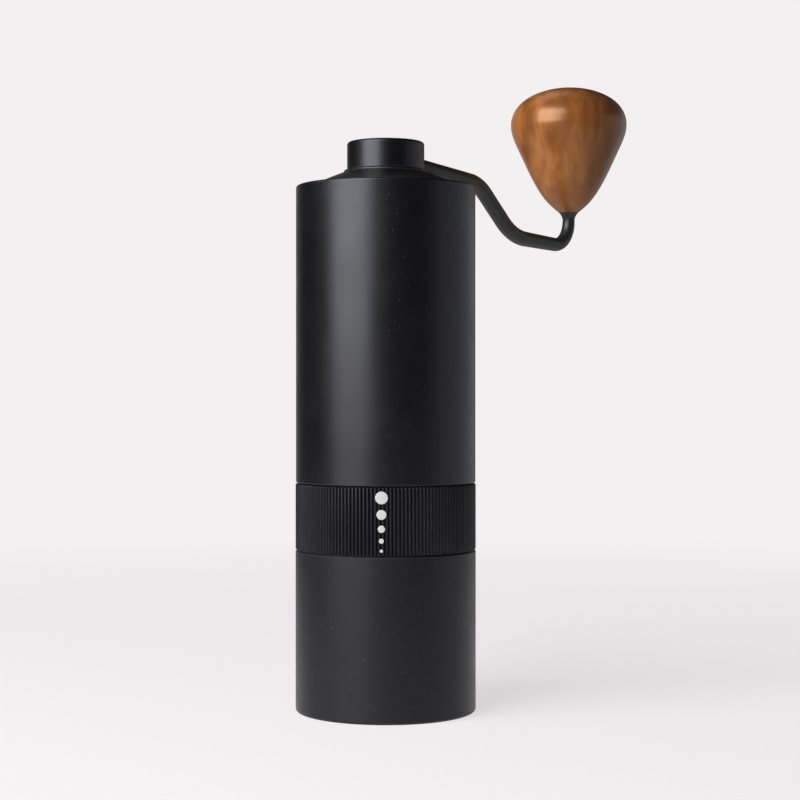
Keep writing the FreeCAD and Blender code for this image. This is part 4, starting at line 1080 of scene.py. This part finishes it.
@dataclass
class Studio:
    """Pale floor, lit backdrop, softboxes and the camera."""

    azimuth: float = -50.0
    distance: float = 0.5434
    eye_height: float = 0.0932
    lens: float = 84.27
    shift: tuple[float, float] = (0.0179, -0.0144)
    paper: Colour = (0.896, 0.871, 0.880)
    target: tuple[float, float, float] = (0.02, 0, 0.11)
    world_tint: Colour = (0.97, 0.98, 1.0)
    floor_radius: float = 0.75
    floor_rings: int = 24
    floor_steps: int = 96
    floor_tones: tuple[Colour, Colour] = ((0.24, 0.23, 0.235), (0.26, 0.25, 0.255))
    floor_glow: float = 0.74
    floor_fade: tuple[float, float] = (0.06, 0.675)
    right_glow: tuple[float, float] = (0.02, 0.52)
    left_glow: tuple[float, float] = (0.68, 0.05)
    band_glow: tuple[float, float] = (1.0, 0.07)
    right_rise: tuple[float, float] = (math.radians(46), math.radians(80))
    right_fall: tuple[float, float] = (math.radians(150), math.radians(168))
    left_fade: tuple[float, float] = (math.radians(-180), math.radians(-132))
    band_edge: tuple[float, float] = (math.sin(math.radians(8)), math.sin(math.radians(30)))

    def __post_init__(self) -> None:
        """Works out the directions towards the camera and to its right."""
        turn = math.radians(self.azimuth)
        self.forward = Vector((math.sin(turn), -math.cos(turn), 0))
        self.right = Vector((math.cos(turn), math.sin(turn), 0))

    def toward(self, azimuth: float, elevation: float) -> tuple[float, float, float]:
        """Direction at an angle round from the camera, positive to its right, and above the horizon."""
        a, e = math.radians(azimuth), math.radians(elevation)
        level = self.forward * math.cos(a) + self.right * math.sin(a)
        return tuple(level * math.cos(e) + Vector((0, 0, math.sin(e))))

    def build(self) -> None:
        """Makes the whole set."""
        key, top = self.toward(-45, 27), self.toward(-151, 62)
        for box in (
            Softbox("key_softbox", key, distance=0.9, width=0.84, height=0.88, radiance=6.8),
            Softbox("top_softbox", top, distance=0.8, width=0.55, height=0.30, radiance=0.6),
        ):
            box.build(Vector(self.target))
        self._floor()
        self._backdrop()
        self._camera()
        LOG.info("studio: 2 softboxes, floor, backdrop, camera")

    def _camera(self) -> None:
        """Level camera at the eye's height, a little to one side of the grinder in its frame."""
        data = bpy.data.cameras.new("camera")
        data.lens, data.sensor_width = self.lens, 36.0
        data.shift_x, data.shift_y = self.shift
        camera = bpy.data.objects.new("camera", data)
        camera.location = self.forward * self.distance + Vector((0, 0, self.eye_height))
        camera.rotation_euler = (-self.forward).to_track_quat("-Z", "Y").to_euler()
        bpy.context.scene.collection.objects.link(camera)
        bpy.context.scene.camera = camera

    def _floor(self) -> None:
        """Pale disc that fades into the backdrop: rings of a circle, r from 0 to the floor's radius."""
        steps = self.floor_steps
        turn = np.linspace(0, 2 * math.pi, steps, endpoint=False)
        reach = np.linspace(0.02, self.floor_radius, self.floor_rings)[:, None]
        grid = np.stack([reach * np.cos(turn), reach * np.sin(turn), 0 * reach * turn], axis=2).reshape(-1, 3)
        grid = np.vstack([grid, [0, 0, 0]])
        column = np.arange(steps)
        centre = np.stack([np.full(steps, len(grid) - 1), column, (column + 1) % steps], axis=1)
        rings = Surface.quads(self.floor_rings, steps, wrap_rows=False)[:, ::-1]
        floor = Surface.object("floor", grid, [rings, centre])
        material = bpy.data.materials.new("floor_paper")
        material.use_nodes = True
        graph = Graph(material.node_tree)
        shader = material.node_tree.nodes["Principled BSDF"]
        place = graph.here()
        edge = graph.vector("LENGTH", place)
        fibre = graph.noise(place, 700.0, 3.0, 0.6)
        tint = graph.blend(graph.span(fibre, 0.3, 0.7), *self.floor_tones)
        graph.feed(shader.inputs["Base Color"], tint)
        graph.feed(shader.inputs["Roughness"], 0.9)
        graph.feed(shader.inputs["Specular IOR Level"], 0.1)
        graph.feed(shader.inputs["Alpha"], graph.span(edge, *self.floor_fade, 1.0, 0.0))
        graph.feed(shader.inputs["Emission Color"], self.paper)
        graph.feed(shader.inputs["Emission Strength"], self.floor_glow)
        floor.data.materials.append(material)

    def _backdrop(self) -> None:
        """World: even pale paper behind, and a softly lit side that surfaces reflect.

        The reflected light is a band near the horizon. It rises smoothly with the angle round from the camera
        on the right, falls again behind the object, and is bright for a little way on the left.
        """
        world = bpy.data.worlds.new("studio")
        world.use_nodes = True
        bpy.context.scene.world = world
        graph = Graph(world.node_tree)
        world.node_tree.nodes.clear()
        place = graph.add("TexCoord").outputs["Generated"]
        across, ahead = (graph.vector("DOT_PRODUCT", place, tuple(v)) for v in (self.right, self.forward))
        turn = graph.math("ARCTAN2", across, ahead)
        rising = graph.span(turn, *self.right_rise, *self.right_glow)
        falling = graph.span(turn, *self.right_fall, 1.0, 0.0)
        left_side = graph.span(turn, *self.left_fade, *self.left_glow)
        rise = graph.math("ABSOLUTE", graph.split(place)[2])
        level = graph.span(rise, *self.band_edge, *self.band_glow)
        sides = graph.math("MAXIMUM", graph.math("MULTIPLY", rising, falling), left_side)
        glow = graph.math("MULTIPLY", sides, level)
        around = graph.add("Background")
        graph.feed(around.inputs["Color"], self.world_tint)
        graph.feed(around.inputs["Strength"], glow)
        paper = graph.add("Background")
        graph.feed(paper.inputs["Color"], self.paper)
        seen = graph.add("LightPath").outputs["Is Camera Ray"]
        choose = graph.add("MixShader")
        graph.feed(choose.inputs[0], seen)
        graph.feed(choose.inputs[1], around.outputs[0])
        graph.feed(choose.inputs[2], paper.outputs[0])
        output = graph.add("OutputWorld")
        graph.feed(output.inputs["Surface"], choose.outputs[0])


def main() -> None:
    """Builds the finishes, the pieces and the studio, in that order."""
    logging.basicConfig(level=logging.INFO, format="%(name)s: %(message)s")
    bpy.context.scene.view_settings.view_transform = "Standard"
    low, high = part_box("wooden_knob")
    finishes = Finishes(SharedGroups(), (low[0] + high[0]) / 2)
    finishes.dress_frame()
    looks = finishes.by_slot
    GripSleeve().build(looks["ribbed_black"], looks["print_ink"])
    CrankArm().build(looks["arm_black"])
    Knob().build(looks["knob_wood"], looks["arm_black"])
    Springs().build(looks["spring_steel"])
    Studio().build()
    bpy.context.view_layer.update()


if __name__ == "__main__":
    main()
